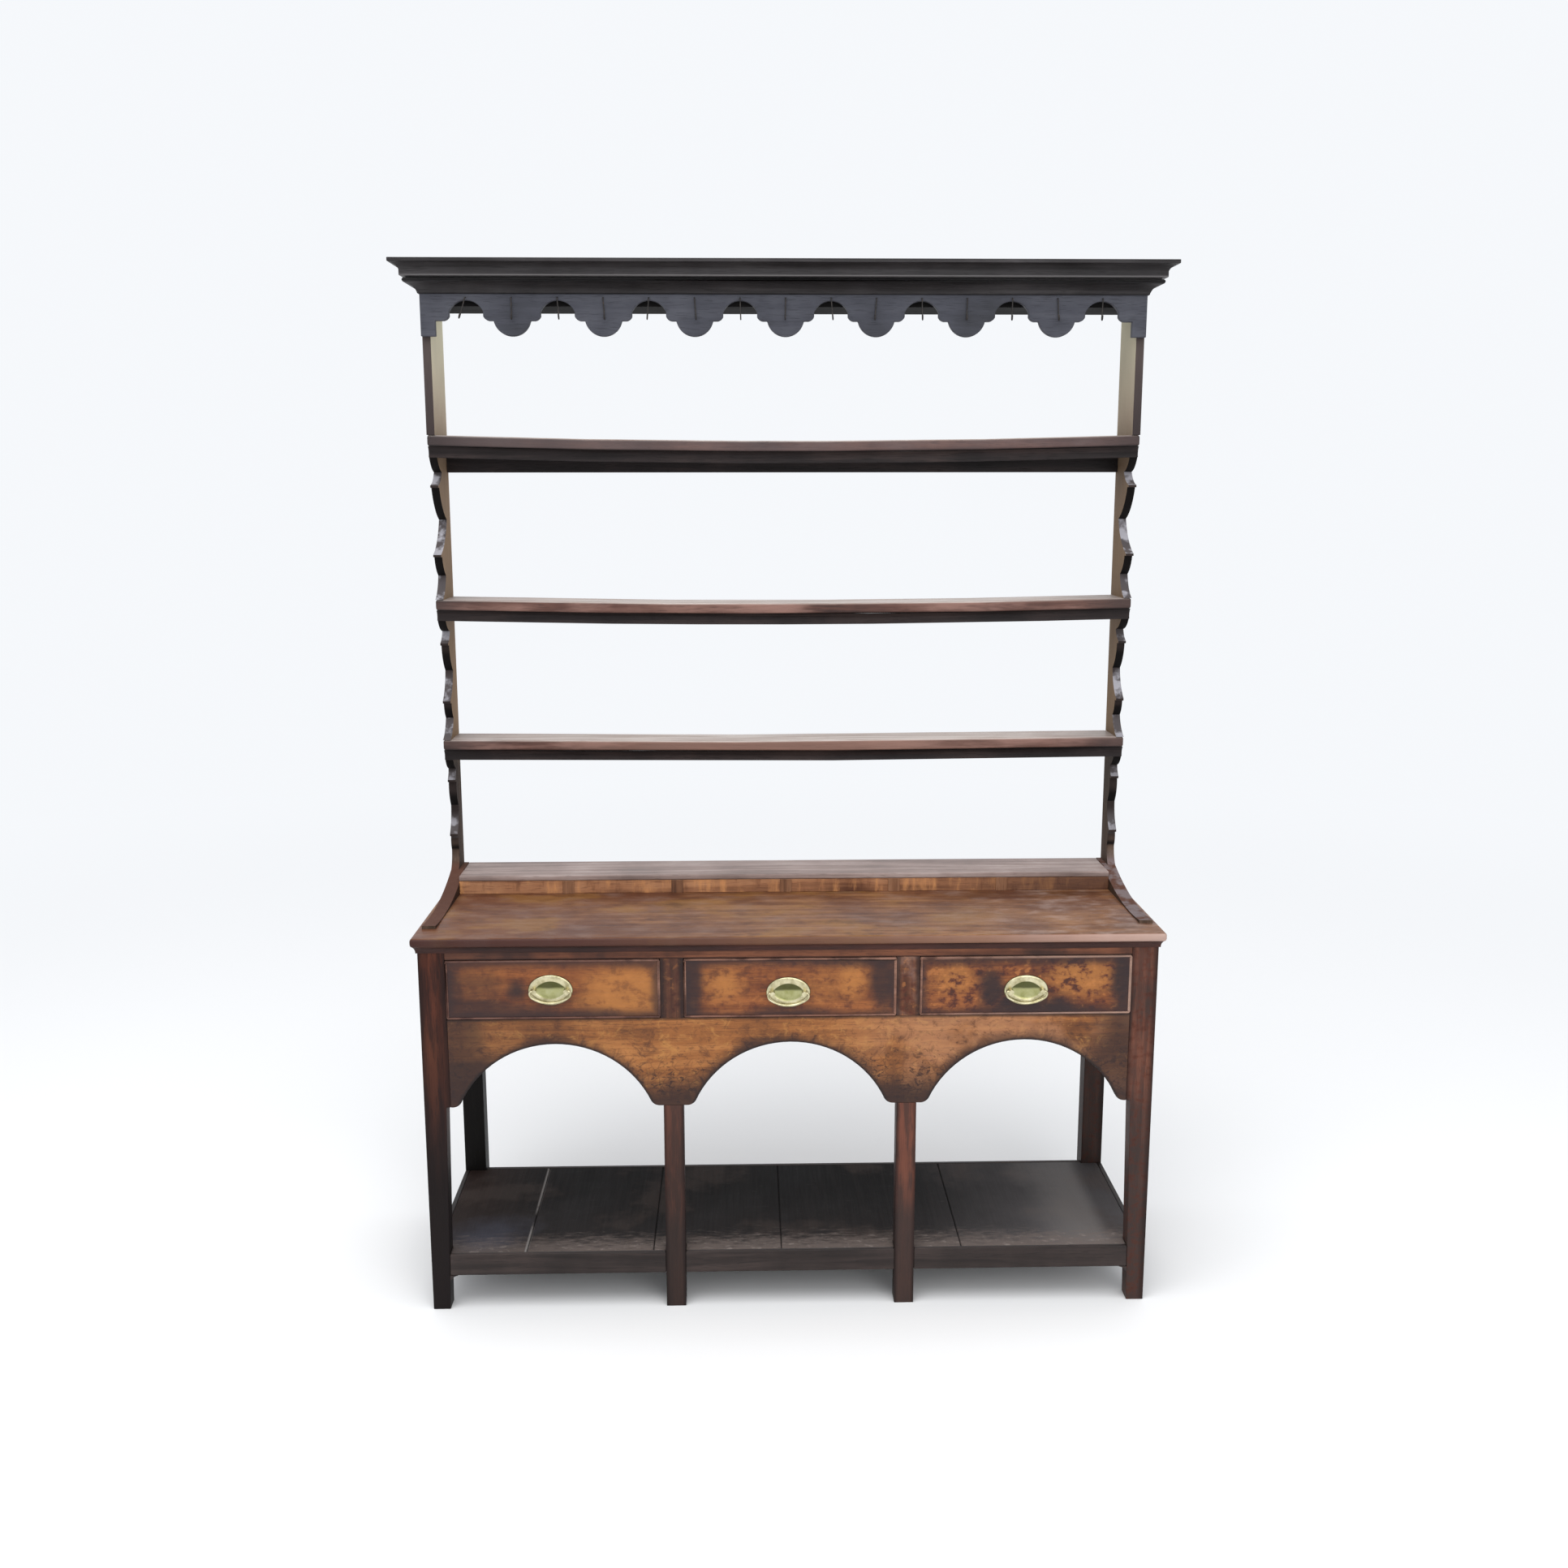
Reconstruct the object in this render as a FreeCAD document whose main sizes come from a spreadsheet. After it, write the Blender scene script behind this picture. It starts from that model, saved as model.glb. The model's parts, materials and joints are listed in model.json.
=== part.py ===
import FreeCAD, Part
import math
import os
from types import SimpleNamespace

import Sketcher
from FreeCAD import Placement, Rotation, Vector

# A Welsh dresser: a low base with three drawers over an arched apron and a potboard,
# and an open plate rack with scalloped sides, three shelves, a shaped frieze and a cornice.
# Millimetres, +Z up, the front faces -Y, and the origin is on the floor under the middle.

doc = FreeCAD.newDocument("welsh_dresser")
sheet = doc.addObject("Spreadsheet::Sheet", "Sizes")

driving = {
    # base, outside
    "baseWidth": 1504,
    "baseHeight": 815,
    "topThickness": 18,
    "topDepth": 480,
    "topFrontOverhang": 20,
    "topEndOverhang": 11,
    "topBackOverhang": 5,
    "edgeMouldHeight": 16,
    "edgeMouldReach": 10,
    "edgeMouldFoot": 3,
    "edgeMouldSweep": 60,
    # base, frame
    "frontLegWidth": 54,
    "frontLegLowerWidth": 45,
    "frontLegFootWidth": 36,
    "frontLegDepth": 38,
    "innerLegWidth": 41,
    "backLegWidth": 48,
    "backLegDepth": 46,
    "topRailHeight": 32,
    "railThickness": 24,
    "openingHeight": 126,
    "dividerWidth": 48,
    "apronThickness": 22,
    "apronHeight": 189,
    "archCrownDrop": 54,
    "pendantWidth": 92,
    "pendantRise": 10,
    "pendantRound": 18,
    "pendantSweep": 60,
    "endPanelThickness": 18,
    "endPanelInset": 4,
    "panelHeight": 212,
    "backPanelThickness": 14,
    "runnerHeight": 20,
    "runnerLedge": 14,
    "guideHeight": 20,
    # potboard
    "potboardHeight": 124,
    "potRailHeight": 48,
    "potRailThickness": 24,
    "potRailLip": 10,
    "potBackInset": 30,
    "boardThickness": 16,
    "boardGap": 1.5,
    "boardOneWidth": 187,
    "boardTwoWidth": 265,
    "boardThreeWidth": 268,
    "boardFourWidth": 379,
    "bracketReach": 18,
    "bracketSweep": 70,
    # drawers
    "drawerClear": 1,
    "drawerLength": 385,
    "drawerFrontThickness": 20,
    "beadThickness": 4,
    "beadProud": 2,
    "beadDepth": 8,
    "drawerSideThickness": 11,
    "drawerSideHeight": 105,
    "tailTipHeight": 27,
    "tailRootHeight": 21,
    "drawerBackThickness": 11,
    "drawerBackHeight": 84,
    "drawerBottomThickness": 8,
    "drawerBottomRaise": 10,
    "grooveDepth": 5,
    # handles
    "leftHandleAside": -5,
    "leftHandleDrop": 1,
    "middleHandleAside": -4,
    "middleHandleDrop": 10,
    "rightHandleAside": 1,
    "rightHandleDrop": 10,
    "plateWidth": 90,
    "plateHeight": 64,
    "plateThickness": 1.6,
    "plateRimWidth": 6,
    "plateRimProud": 1.4,
    "postSpacing": 64,
    "postHeadDiameter": 9.6,
    "postHeadLength": 14,
    "postShankDiameter": 5,
    "boltClear": 0.3,
    "nutAcross": 11,
    "nutThickness": 4,
    "nutBeyond": 3,
    "threadClear": 0.05,
    "bailRod": 4.6,
    "bailStandOff": 9,
    "bailRunClear": 0.05,
    "bailPinInside": 4.4,
    "bailPinOutside": 5.2,
    "bailElbowRadius": 4.2,
    "bailCornerRadius": 12,
    "bailDrop": 21,
    # rack
    "overallHeight": 2157,
    "rackDepth": 137,
    "sideThickness": 17,
    "housingDepth": 7,
    "shelfThickness": 23,
    "topShelfHeight": 1810,
    "middleShelfHeight": 1465,
    "bottomShelfHeight": 1157,
    "topShelfSag": 12,
    "middleShelfSag": 10,
    "bottomShelfSag": 6,
    "middleShelfDepth": 120,
    "bottomShelfDepth": 102,
    "shelfMouldHeight": 23,
    "shelfMouldThickness": 14,
    "shelfMouldSetBack": 3,
    "shelfMouldFoot": 5,
    "shelfMouldSweep": 70,
    "backRailHeight": 53,
    "backRailThickness": 18,
    "dustBoardThickness": 18,
    "dustBoardDrop": 23,
    # scallops of the rack sides, heights for a gap as tall as scallopGap
    "scallopGap": 300,
    "scallopDipDrop": 30,
    "scallopCuspDrop": 58,
    "scallopNotchDrop": 131,
    "scallopLowerCuspDrop": 204,
    "scallopLowerDipDrop": 250,
    "scallopNotchWidth": 42,
    "topCuspWidth": 122,
    "middleCuspWidth": 86,
    "bottomCuspWidth": 68,
    "topDipWidth": 76,
    "middleDipWidth": 58,
    "bottomDipWidth": 53,
    "cuspTip": 5,
    "cuspStep": 11,
    "scallopSweep": 50,
    # feet of the rack sides
    "footThickness": 28,
    "footReach": 405,
    "footToeHeight": 7,
    "footHeelWidth": 72,
    "footHeelHeight": 42,
    "footSweep": 24,
    # upstand behind the base top
    "upstandHeight": 42,
    "upstandDepth": 132,
    "upstandTopThickness": 12,
    "upstandFrontThickness": 14,
    "upstandDividerWidth": 26,
    "upstandDividerProud": 2,
    # frieze
    "friezeThickness": 14,
    "friezeDrop": 84,
    "friezeTopMargin": 12,
    "lobeHalfWidth": 38,
    "lobeSweep": 156,
    "ledgeHeight": 31,
    "shoulderWidth": 12,
    "shoulderRise": 9,
    "shoulderSweep": 60,
    "friezeArchHalfWidth": 35,
    "friezeArchSpring": 49,
    "friezeArchSweep": 133,
    "bracketWidth": 30,
    # cornice, heights from its lower edge
    "corniceHeight": 65,
    "corniceReach": 52,
    "corniceFoot": 3,
    "coveHeight": 20,
    "coveReach": 22,
    "coveSweep": 65,
    "astragalHeight": 9,
    "astragalReach": 25,
    "astragalSweep": 150,
    "quirkHeight": 3,
    "fasciaHeight": 12,
    "fasciaReach": 33,
    "crownReach": 49,
    "crownFillet": 8,
    "crownSweep": 60,
    # plate hooks
    "hookWire": 2.6,
    "hookBelowCornice": 7,
    "hookPin": 9,
    "hookStandOff": 5,
    "hookElbow": 3.2,
    "hookStem": 36,
    "hookCurl": 4.5,
    "hookTip": 5,
}

archCount = 3
drawerNames = ("left", "middle", "right")
friezeArches = 8
upstandBays = 6
tailCount = 3


class Size:
    """A length held as a number and as the formula that ties it to the sheet."""

    def __init__(self, text, value):
        self.text = text
        self.value = float(value)

    def __add__(self, other):
        other = asSize(other)
        return Size(f"({self.text} + {other.text})", self.value + other.value)

    def __sub__(self, other):
        other = asSize(other)
        return Size(f"({self.text} - {other.text})", self.value - other.value)

    def __mul__(self, other):
        other = asSize(other)
        return Size(f"({self.text} * {other.text})", self.value * other.value)

    def __truediv__(self, other):
        other = asSize(other)
        return Size(f"({self.text} / {other.text})", self.value / other.value)

    def __neg__(self):
        return Size(f"(0 - {self.text})", -self.value)

    def arcSine(self):
        return Size(f"asin({self.text})", math.degrees(math.asin(self.value)))


def asSize(number):
    return number if isinstance(number, Size) else Size(repr(number), number)


zero = asSize(0)
halfRootTwo = math.sqrt(0.5)

for row, (name, value) in enumerate(driving.items(), start=1):
    sheet.set(f"A{row}", name)
    sheet.set(f"B{row}", str(value))
    sheet.setAlias(f"B{row}", name)
doc.recompute()
s = SimpleNamespace(**{name: Size(f"Sizes.{name}", value) for name, value in driving.items()})

nodes = {}


# Building blocks

def bind(item, prop, size):
    item.setExpression(prop, asSize(size).text)


def place(item, corner, turn=None):
    if turn:
        item.Placement = Placement(Vector(), turn)
    for axis, size in zip("xyz", corner):
        bind(item, f"Placement.Base.{axis}", size)
    return item


def keep(label, item):
    item.Label = label
    nodes[label] = item
    return item


def block(name, corner, extent, turn=None):
    item = doc.addObject("Part::Box", name)
    for prop, size in zip(("Length", "Width", "Height"), extent):
        bind(item, prop, size)
    return place(item, corner, turn)


def span(name, low, high):
    return block(name, low, [top - bottom for bottom, top in zip(low, high)])


def rod(name, start, radius, length, turn=None):
    item = doc.addObject("Part::Cylinder", name)
    bind(item, "Radius", radius)
    bind(item, "Height", length)
    return place(item, start, turn)


def group(name, items):
    item = doc.addObject("Part::Compound", name)
    item.Links = items
    return item


def cut(name, base, tool):
    item = doc.addObject("Part::Cut", name)
    item.Base = base
    item.Tool = tool
    return item


def fuse(name, items):
    item = doc.addObject("Part::MultiFuse", name)
    item.Shapes = items
    return item


# Turns that point a rod, which stands along +Z, another way
towardBack = Rotation(Vector(1, 0, 0), -90)
towardRight = Rotation(Vector(0, 1, 0), 90)


# Sketches: a corner is (across, up) or (across, up, bend), where bend shapes the way to the next corner

def sweep(angle, left):
    return SimpleNamespace(angle=angle, radius=None, left=left)


def curve(radius, left):
    return SimpleNamespace(angle=None, radius=radius, left=left)


def arcBetween(start, end, bend):
    chord = end.sub(start)
    half = chord.Length / 2
    if bend.radius:
        radius = bend.radius.value
        rise = math.sqrt(max(radius ** 2 - half ** 2, 0))
    else:
        halfAngle = math.radians(bend.angle.value) / 2
        radius = half / math.sin(halfAngle)
        rise = radius * math.cos(halfAngle)
    side = Vector(-chord.y, chord.x, 0).normalize()
    outward = 1 if bend.left else -1
    centre = (start + end) * 0.5 - side * (outward * rise)
    first, last = (end, start) if bend.left else (start, end)
    firstAngle = math.atan2(first.y - centre.y, first.x - centre.x)
    lastAngle = math.atan2(last.y - centre.y, last.x - centre.x)
    if lastAngle < firstAngle:
        lastAngle += 2 * math.pi
    return Part.ArcOfCircle(Part.Circle(centre, Vector(0, 0, 1), radius), firstAngle, lastAngle)


def originPlane(body, role):
    return next(item for item in body.Origin.OriginFeatures if item.Role == role)


def newSketch(body, name, role):
    sketch = body.newObject("Sketcher::SketchObject", name)
    sketch.AttachmentSupport = [(originPlane(body, role), "")]
    sketch.MapMode = "FlatFace"
    return sketch


def hold(sketch, kind, name, first, size, value):
    index = sketch.addConstraint(Sketcher.Constraint(kind, *first, value))
    sketch.renameConstraint(index, name)
    sketch.setExpression(f"Constraints.{name}", size.text)


def pinPoint(sketch, index, edge, end, across, up):
    axes = (("DistanceX", "across", across, -2), ("DistanceY", "up", up, -1))
    for kind, word, size, axis in axes:
        if size is zero:
            sketch.addConstraint(Sketcher.Constraint("PointOnObject", edge, end, axis))
        else:
            hold(sketch, kind, f"{word}{index}", (-1, 1, edge, end), size, size.value)


def draw(sketch, corners, closed=True):
    corners = [tuple(corner) + (None,) * (3 - len(corner)) for corner in corners]
    points = [Vector(across.value, up.value, 0) for across, up, bend in corners]
    edges = []
    for index in range(len(corners) if closed else len(corners) - 1):
        start = points[index]
        end = points[(index + 1) % len(points)]
        bend = corners[index][2]
        if bend is None:
            edges.append((sketch.addGeometry(Part.LineSegment(start, end)), 1, 2))
            continue
        edge = sketch.addGeometry(arcBetween(start, end, bend))
        edges.append((edge, 2, 1) if bend.left else (edge, 1, 2))
        if bend.radius:
            hold(sketch, "Radius", f"radius{index}", (edge,), bend.radius, bend.radius.value)
        else:
            hold(sketch, "Angle", f"sweep{index}", (edge,), bend.angle, math.radians(bend.angle.value))
    for before, after in zip(edges, edges[1:] + (edges[:1] if closed else [])):
        sketch.addConstraint(Sketcher.Constraint("Coincident", before[0], before[2], after[0], after[1]))
    for index, (across, up, bend) in enumerate(corners):
        if index < len(edges):
            pinPoint(sketch, index, edges[index][0], edges[index][1], across, up)
        else:
            pinPoint(sketch, index, edges[-1][0], edges[-1][2], across, up)


def drawCircle(sketch, diameter):
    radius = diameter / 2
    edge = sketch.addGeometry(Part.Circle(Vector(), Vector(0, 0, 1), radius.value))
    sketch.addConstraint(Sketcher.Constraint("Coincident", edge, 3, -1, 1))
    hold(sketch, "Radius", "radius", (edge,), radius, radius.value)


def drawEllipse(sketch, name, across, up):
    longHalf = across / 2
    shortHalf = up / 2
    ends = Vector(longHalf.value, 0, 0), Vector(0, shortHalf.value, 0)
    edge = sketch.addGeometry(Part.Ellipse(ends[0], ends[1], Vector()))
    sketch.exposeInternalGeometry(edge)
    sketch.addConstraint(Sketcher.Constraint("Coincident", edge, 3, -1, 1))
    sketch.addConstraint(Sketcher.Constraint("PointOnObject", edge + 1, 2, -1))
    hold(sketch, "Distance", f"{name}Long", (edge + 1,), across, across.value)
    hold(sketch, "Distance", f"{name}Short", (edge + 2,), up, up.value)


def profile(name, role, corners, depth, corner, turn=None, flip=False):
    body = doc.addObject("PartDesign::Body", name)
    sketch = newSketch(body, f"{name}_outline", role)
    draw(sketch, corners)
    pad = body.newObject("PartDesign::Pad", f"{name}_pad")
    pad.Profile = sketch
    pad.Reversed = flip
    bind(pad, "Length", depth)
    return place(body, corner, turn)


def wire(name, diameter, route, corner, turn=None):
    body = doc.addObject("PartDesign::Body", name)
    path = newSketch(body, f"{name}_route", "XZ_Plane")
    draw(path, route, closed=False)
    section = newSketch(body, f"{name}_section", "YZ_Plane")
    drawCircle(section, diameter)
    pipe = body.newObject("PartDesign::AdditivePipe", f"{name}_pipe")
    pipe.Profile = section
    pipe.Spine = path
    return place(body, corner, turn)


def mitreTool(name, corner, side, beyond, reach, height):
    """A square block with one edge on the 45 degree line that leaves the case's front corner outwards."""
    turn = Rotation(Vector(0, 0, 1), -45 * side)
    diagonal = reach * halfRootTwo
    shift = 0 if beyond else 1
    across = corner[0] - diagonal * (1 + side * shift)
    along = corner[1] + diagonal * (side - shift)
    return block(name, (across, along, corner[2]), (reach * 2, reach, height), turn)


def mitredMoulding(name, corners, half, front, back, low, reach, height):
    """A moulding along the front and both ends, in three runs that meet on mitres."""
    cutReach = reach * 3
    corner = {side: (half * side, front, low) for side in (-1, 1)}
    across = half * 2 + reach * 2
    along = back - front + reach
    frontRun = profile(f"{name}_front_run", "XZ_Plane", corners, across,
                       (-half - reach, front, low), Rotation(Vector(0, 0, 1), -90), flip=True)
    frontEnds = group(f"{name}_front_mitres",
                      [mitreTool(f"{name}_front_mitre{side}", corner[side], side, True, cutReach, height)
                       for side in (-1, 1)])
    runs = [cut(f"{name}_front", frontRun, frontEnds)]
    for side, word in ((-1, "left"), (1, "right")):
        turn = Rotation(Vector(0, 0, 1), 180 if side < 0 else 0)
        run = profile(f"{name}_{word}_run", "XZ_Plane", corners, along,
                      (half * side, front - reach, low), turn, flip=side > 0)
        tool = mitreTool(f"{name}_{word}_mitre", corner[side], side, False, cutReach, height)
        runs.append(cut(f"{name}_{word}", run, tool))
    return group(name, runs)


# Places worked out from the driving sizes

topFront = -s.topDepth / 2
topBack = s.topDepth / 2
caseFront = topFront + s.topFrontOverhang
caseBack = topBack - s.topBackOverhang
caseHalf = s.baseWidth / 2
caseTop = s.baseHeight - s.topThickness
openingTop = caseTop - s.topRailHeight
drawerFloor = openingTop - s.openingHeight
apronBottom = drawerFloor - s.apronHeight
frameHalf = caseHalf - s.frontLegWidth
openingWidth = (frameHalf * 2 - s.dividerWidth * (archCount - 1)) / archCount
bayPitch = openingWidth + s.dividerWidth
panelLow = caseTop - s.panelHeight
frontLegBack = caseFront + s.frontLegDepth
backLegFront = caseBack - s.backLegDepth
backLegInner = caseHalf - s.backLegWidth
backPanelFront = caseBack - s.backPanelThickness
apronBack = caseFront + s.apronThickness
postCentres = [bayPitch * (number - archCount / 2) for number in range(1, archCount)]
bayCentres = [bayPitch * (number - (archCount - 1) / 2) for number in range(archCount)]


# Base

def buildBaseTop():
    topHalf = caseHalf + s.topEndOverhang
    keep("base_top", span("base_top_block", (-topHalf, topFront, caseTop), (topHalf, topBack, s.baseHeight)))
    # a cove under the overhang, from its foot on the case up to its full reach
    corners = (
        (zero, zero),
        (s.edgeMouldFoot, zero, sweep(s.edgeMouldSweep, True)),
        (s.edgeMouldReach, s.edgeMouldHeight),
        (zero, s.edgeMouldHeight),
    )
    keep("base_top_moulding", mitredMoulding(
        "edge_mould", corners, caseHalf, caseFront, caseBack, caseTop - s.edgeMouldHeight,
        s.edgeMouldReach, s.edgeMouldHeight))


def buildLegs():
    # a front leg is full width beside the drawers and apron, then slimmer and tapered on its inner side
    corners = (
        (zero, zero),
        (s.frontLegFootWidth, zero),
        (s.frontLegLowerWidth, apronBottom),
        (s.frontLegWidth, apronBottom),
        (s.frontLegWidth, caseTop),
        (zero, caseTop),
    )
    for side, word in ((-1, "left"), (1, "right")):
        turn = Rotation(Vector(0, 0, 1), 0 if side < 0 else 180)
        keep(f"leg_front_{word}", profile(f"front_leg_{word}", "XZ_Plane", corners, s.frontLegDepth,
                                          (caseHalf * side, caseFront, zero), turn, flip=side < 0))
        backX = -caseHalf if side < 0 else backLegInner
        keep(f"leg_back_{word}", block(f"back_leg_{word}", (backX, backLegFront, zero),
                                       (s.backLegWidth, s.backLegDepth, caseTop)))
    # an inner leg stands under a pendant of the apron and is halved to run up behind it
    corners = (
        (zero, zero),
        (s.frontLegDepth, zero),
        (s.frontLegDepth, drawerFloor),
        (s.apronThickness, drawerFloor),
        (s.apronThickness, apronBottom),
        (zero, apronBottom),
    )
    for word, centre in zip(("left", "right"), postCentres):
        leg = profile(f"inner_leg_{word}", "YZ_Plane", corners, s.innerLegWidth,
                      (centre - s.innerLegWidth / 2, caseFront, zero))
        keep(f"leg_inner_{word}", leg)


def buildFrontFrame():
    railBack = caseFront + s.railThickness
    keep("top_rail", span("top_rail_block", (-frameHalf, caseFront, openingTop),
                          (frameHalf, railBack, caseTop)))
    for word, centre in zip(("left", "right"), postCentres):
        left = centre - s.dividerWidth / 2
        keep(f"drawer_divider_{word}", block(f"divider_{word}", (left, caseFront, drawerFloor),
                                             (s.dividerWidth, s.railThickness, s.openingHeight)))
    rise = s.apronHeight - s.archCrownDrop - s.pendantRise
    halfSpan = (bayPitch - s.pendantWidth) / 2
    archRadius = (halfSpan * halfSpan + rise * rise) / (rise * 2)
    corners = [(zero, s.apronHeight), (zero, zero)]
    for centre in bayCentres:
        middle = centre + frameHalf
        left = middle - halfSpan
        right = middle + halfSpan
        corners += [
            (left - s.pendantRound, zero, sweep(s.pendantSweep, False)),
            (left, s.pendantRise, curve(archRadius, True)),
            (right, s.pendantRise, sweep(s.pendantSweep, False)),
            (right + s.pendantRound, zero),
        ]
    corners += [(frameHalf * 2, zero), (frameHalf * 2, s.apronHeight)]
    keep("apron", profile("arched_apron", "XZ_Plane", corners, s.apronThickness,
                          (-frameHalf, caseFront, apronBottom), flip=True))


def buildCasePanels():
    for side, word in ((-1, "left"), (1, "right")):
        outer = caseHalf - s.endPanelInset
        left = -outer if side < 0 else outer - s.endPanelThickness
        keep(f"end_panel_{word}", block(
            f"end_board_{word}", (left, frontLegBack, panelLow),
            (s.endPanelThickness, backLegFront - frontLegBack, s.panelHeight)))
    keep("base_back", span("base_back_board", (-backLegInner, backPanelFront, panelLow),
                           (backLegInner, caseBack, caseTop)))


def buildRunners():
    runnerLow = drawerFloor - s.runnerHeight
    guideTop = drawerFloor + s.guideHeight
    endInner = caseHalf - s.endPanelInset - s.endPanelThickness
    ledge = frameHalf - s.runnerLedge
    runners = [
        span("runner_left", (-endInner, frontLegBack, runnerLow), (-ledge, backLegFront, drawerFloor)),
        span("runner_right", (ledge, frontLegBack, runnerLow), (endInner, backLegFront, drawerFloor)),
    ]
    guides = [
        span("guide_left", (-endInner, frontLegBack, drawerFloor), (-frameHalf, backLegFront, guideTop)),
        span("guide_right", (frameHalf, frontLegBack, drawerFloor), (endInner, backLegFront, guideTop)),
    ]
    guideFront = caseFront + s.railThickness
    for word, centre in zip(("inner_left", "inner_right"), postCentres):
        half = s.dividerWidth / 2
        wide = half + s.runnerLedge
        runners.append(span(f"runner_{word}", (centre - wide, frontLegBack, runnerLow),
                            (centre + wide, backPanelFront, drawerFloor)))
        guides.append(span(f"guide_{word}", (centre - half, guideFront, drawerFloor),
                           (centre + half, backPanelFront, guideTop)))
    keep("drawer_runners", group("runner_set", runners))
    keep("drawer_guides", group("guide_set", guides))


def buildPotboard():
    railLow = s.potboardHeight - s.potRailHeight
    boardLow = s.potboardHeight - s.boardThickness
    railBack = caseFront + s.potRailThickness
    lipBack = caseFront + s.potRailLip
    backRailBack = caseBack - s.potBackInset
    backRailFront = backRailBack - s.potRailThickness
    backLip = backRailBack - s.potRailLip
    endLip = caseHalf - s.potRailLip
    endInner = caseHalf - s.potRailThickness

    # three front rails between the legs, rebated behind a lip that hides the ends of the boards
    legs = group("potboard_legs", [nodes[name] for name in nodes if name.startswith("leg_")])
    rail = span("front_rail", (-caseHalf, caseFront, railLow), (caseHalf, railBack, s.potboardHeight))
    rebate = span("front_rebate", (-caseHalf, lipBack, boardLow), (caseHalf, railBack, s.potboardHeight))
    keep("potboard_front_rails", cut("front_rails_fitted", cut("front_rail_rebated", rail, rebate), legs))

    rail = span("back_rail", (-backLegInner, backRailFront, railLow),
                (backLegInner, backRailBack, s.potboardHeight))
    rebate = span("back_rebate", (-backLegInner, backRailFront, boardLow),
                  (backLegInner, backLip, s.potboardHeight))
    keep("potboard_back_rail", cut("back_rail_rebated", rail, rebate))

    ends = []
    for side, word in ((-1, "left"), (1, "right")):
        low, high = sorted((caseHalf * side, endInner * side), key=lambda size: size.value)
        rail = span(f"end_rail_{word}", (low, frontLegBack, railLow), (high, backLegFront, s.potboardHeight))
        low, high = sorted((endLip * side, endInner * side), key=lambda size: size.value)
        rebate = span(f"end_rebate_{word}", (low, frontLegBack, boardLow),
                      (high, backLegFront, s.potboardHeight))
        ends.append(cut(f"end_rail_rebated_{word}", rail, rebate))
    keep("potboard_end_rails", group("end_rail_set", ends))

    # boards run front to back in the rebates and are notched round the legs
    widths = (s.boardOneWidth, s.boardTwoWidth, s.boardThreeWidth, s.boardFourWidth)
    left = -endLip
    boards = []
    for number in range(len(widths) + 1):
        right = left + widths[number] if number < len(widths) else endLip
        board = span(f"board_{number}", (left, lipBack, boardLow), (right, backLip, s.potboardHeight))
        boards.append(cut(f"board_notched_{number}", board, legs))
        left = right + s.boardGap
    keep("potboard_boards", group("board_set", boards))

    # small coved brackets in the corners under the front rail
    corners = (
        (zero, zero, sweep(s.bracketSweep, True)),
        (s.bracketReach, s.bracketReach),
        (zero, s.bracketReach),
    )
    footInner = caseHalf - s.frontLegFootWidth
    brackets = []
    for side, word in ((-1, "left"), (1, "right")):
        turn = Rotation(Vector(0, 0, 1), 0 if side < 0 else 180)
        blank = profile(f"bracket_blank_{word}", "XZ_Plane", corners, s.potRailThickness,
                        (footInner * side, caseFront, railLow - s.bracketReach), turn, flip=side < 0)
        brackets.append(cut(f"bracket_{word}", blank, nodes[f"leg_front_{word}"]))
    keep("rail_brackets", group("bracket_set", brackets))


# Drawers, each built about the middle of its opening

# each handle was set by eye, a little aside from and below the middle of its drawer
handlePlaces = {
    "left": (s.leftHandleAside, s.leftHandleDrop),
    "middle": (s.middleHandleAside, s.middleHandleDrop),
    "right": (s.rightHandleAside, s.rightHandleDrop),
}


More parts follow.
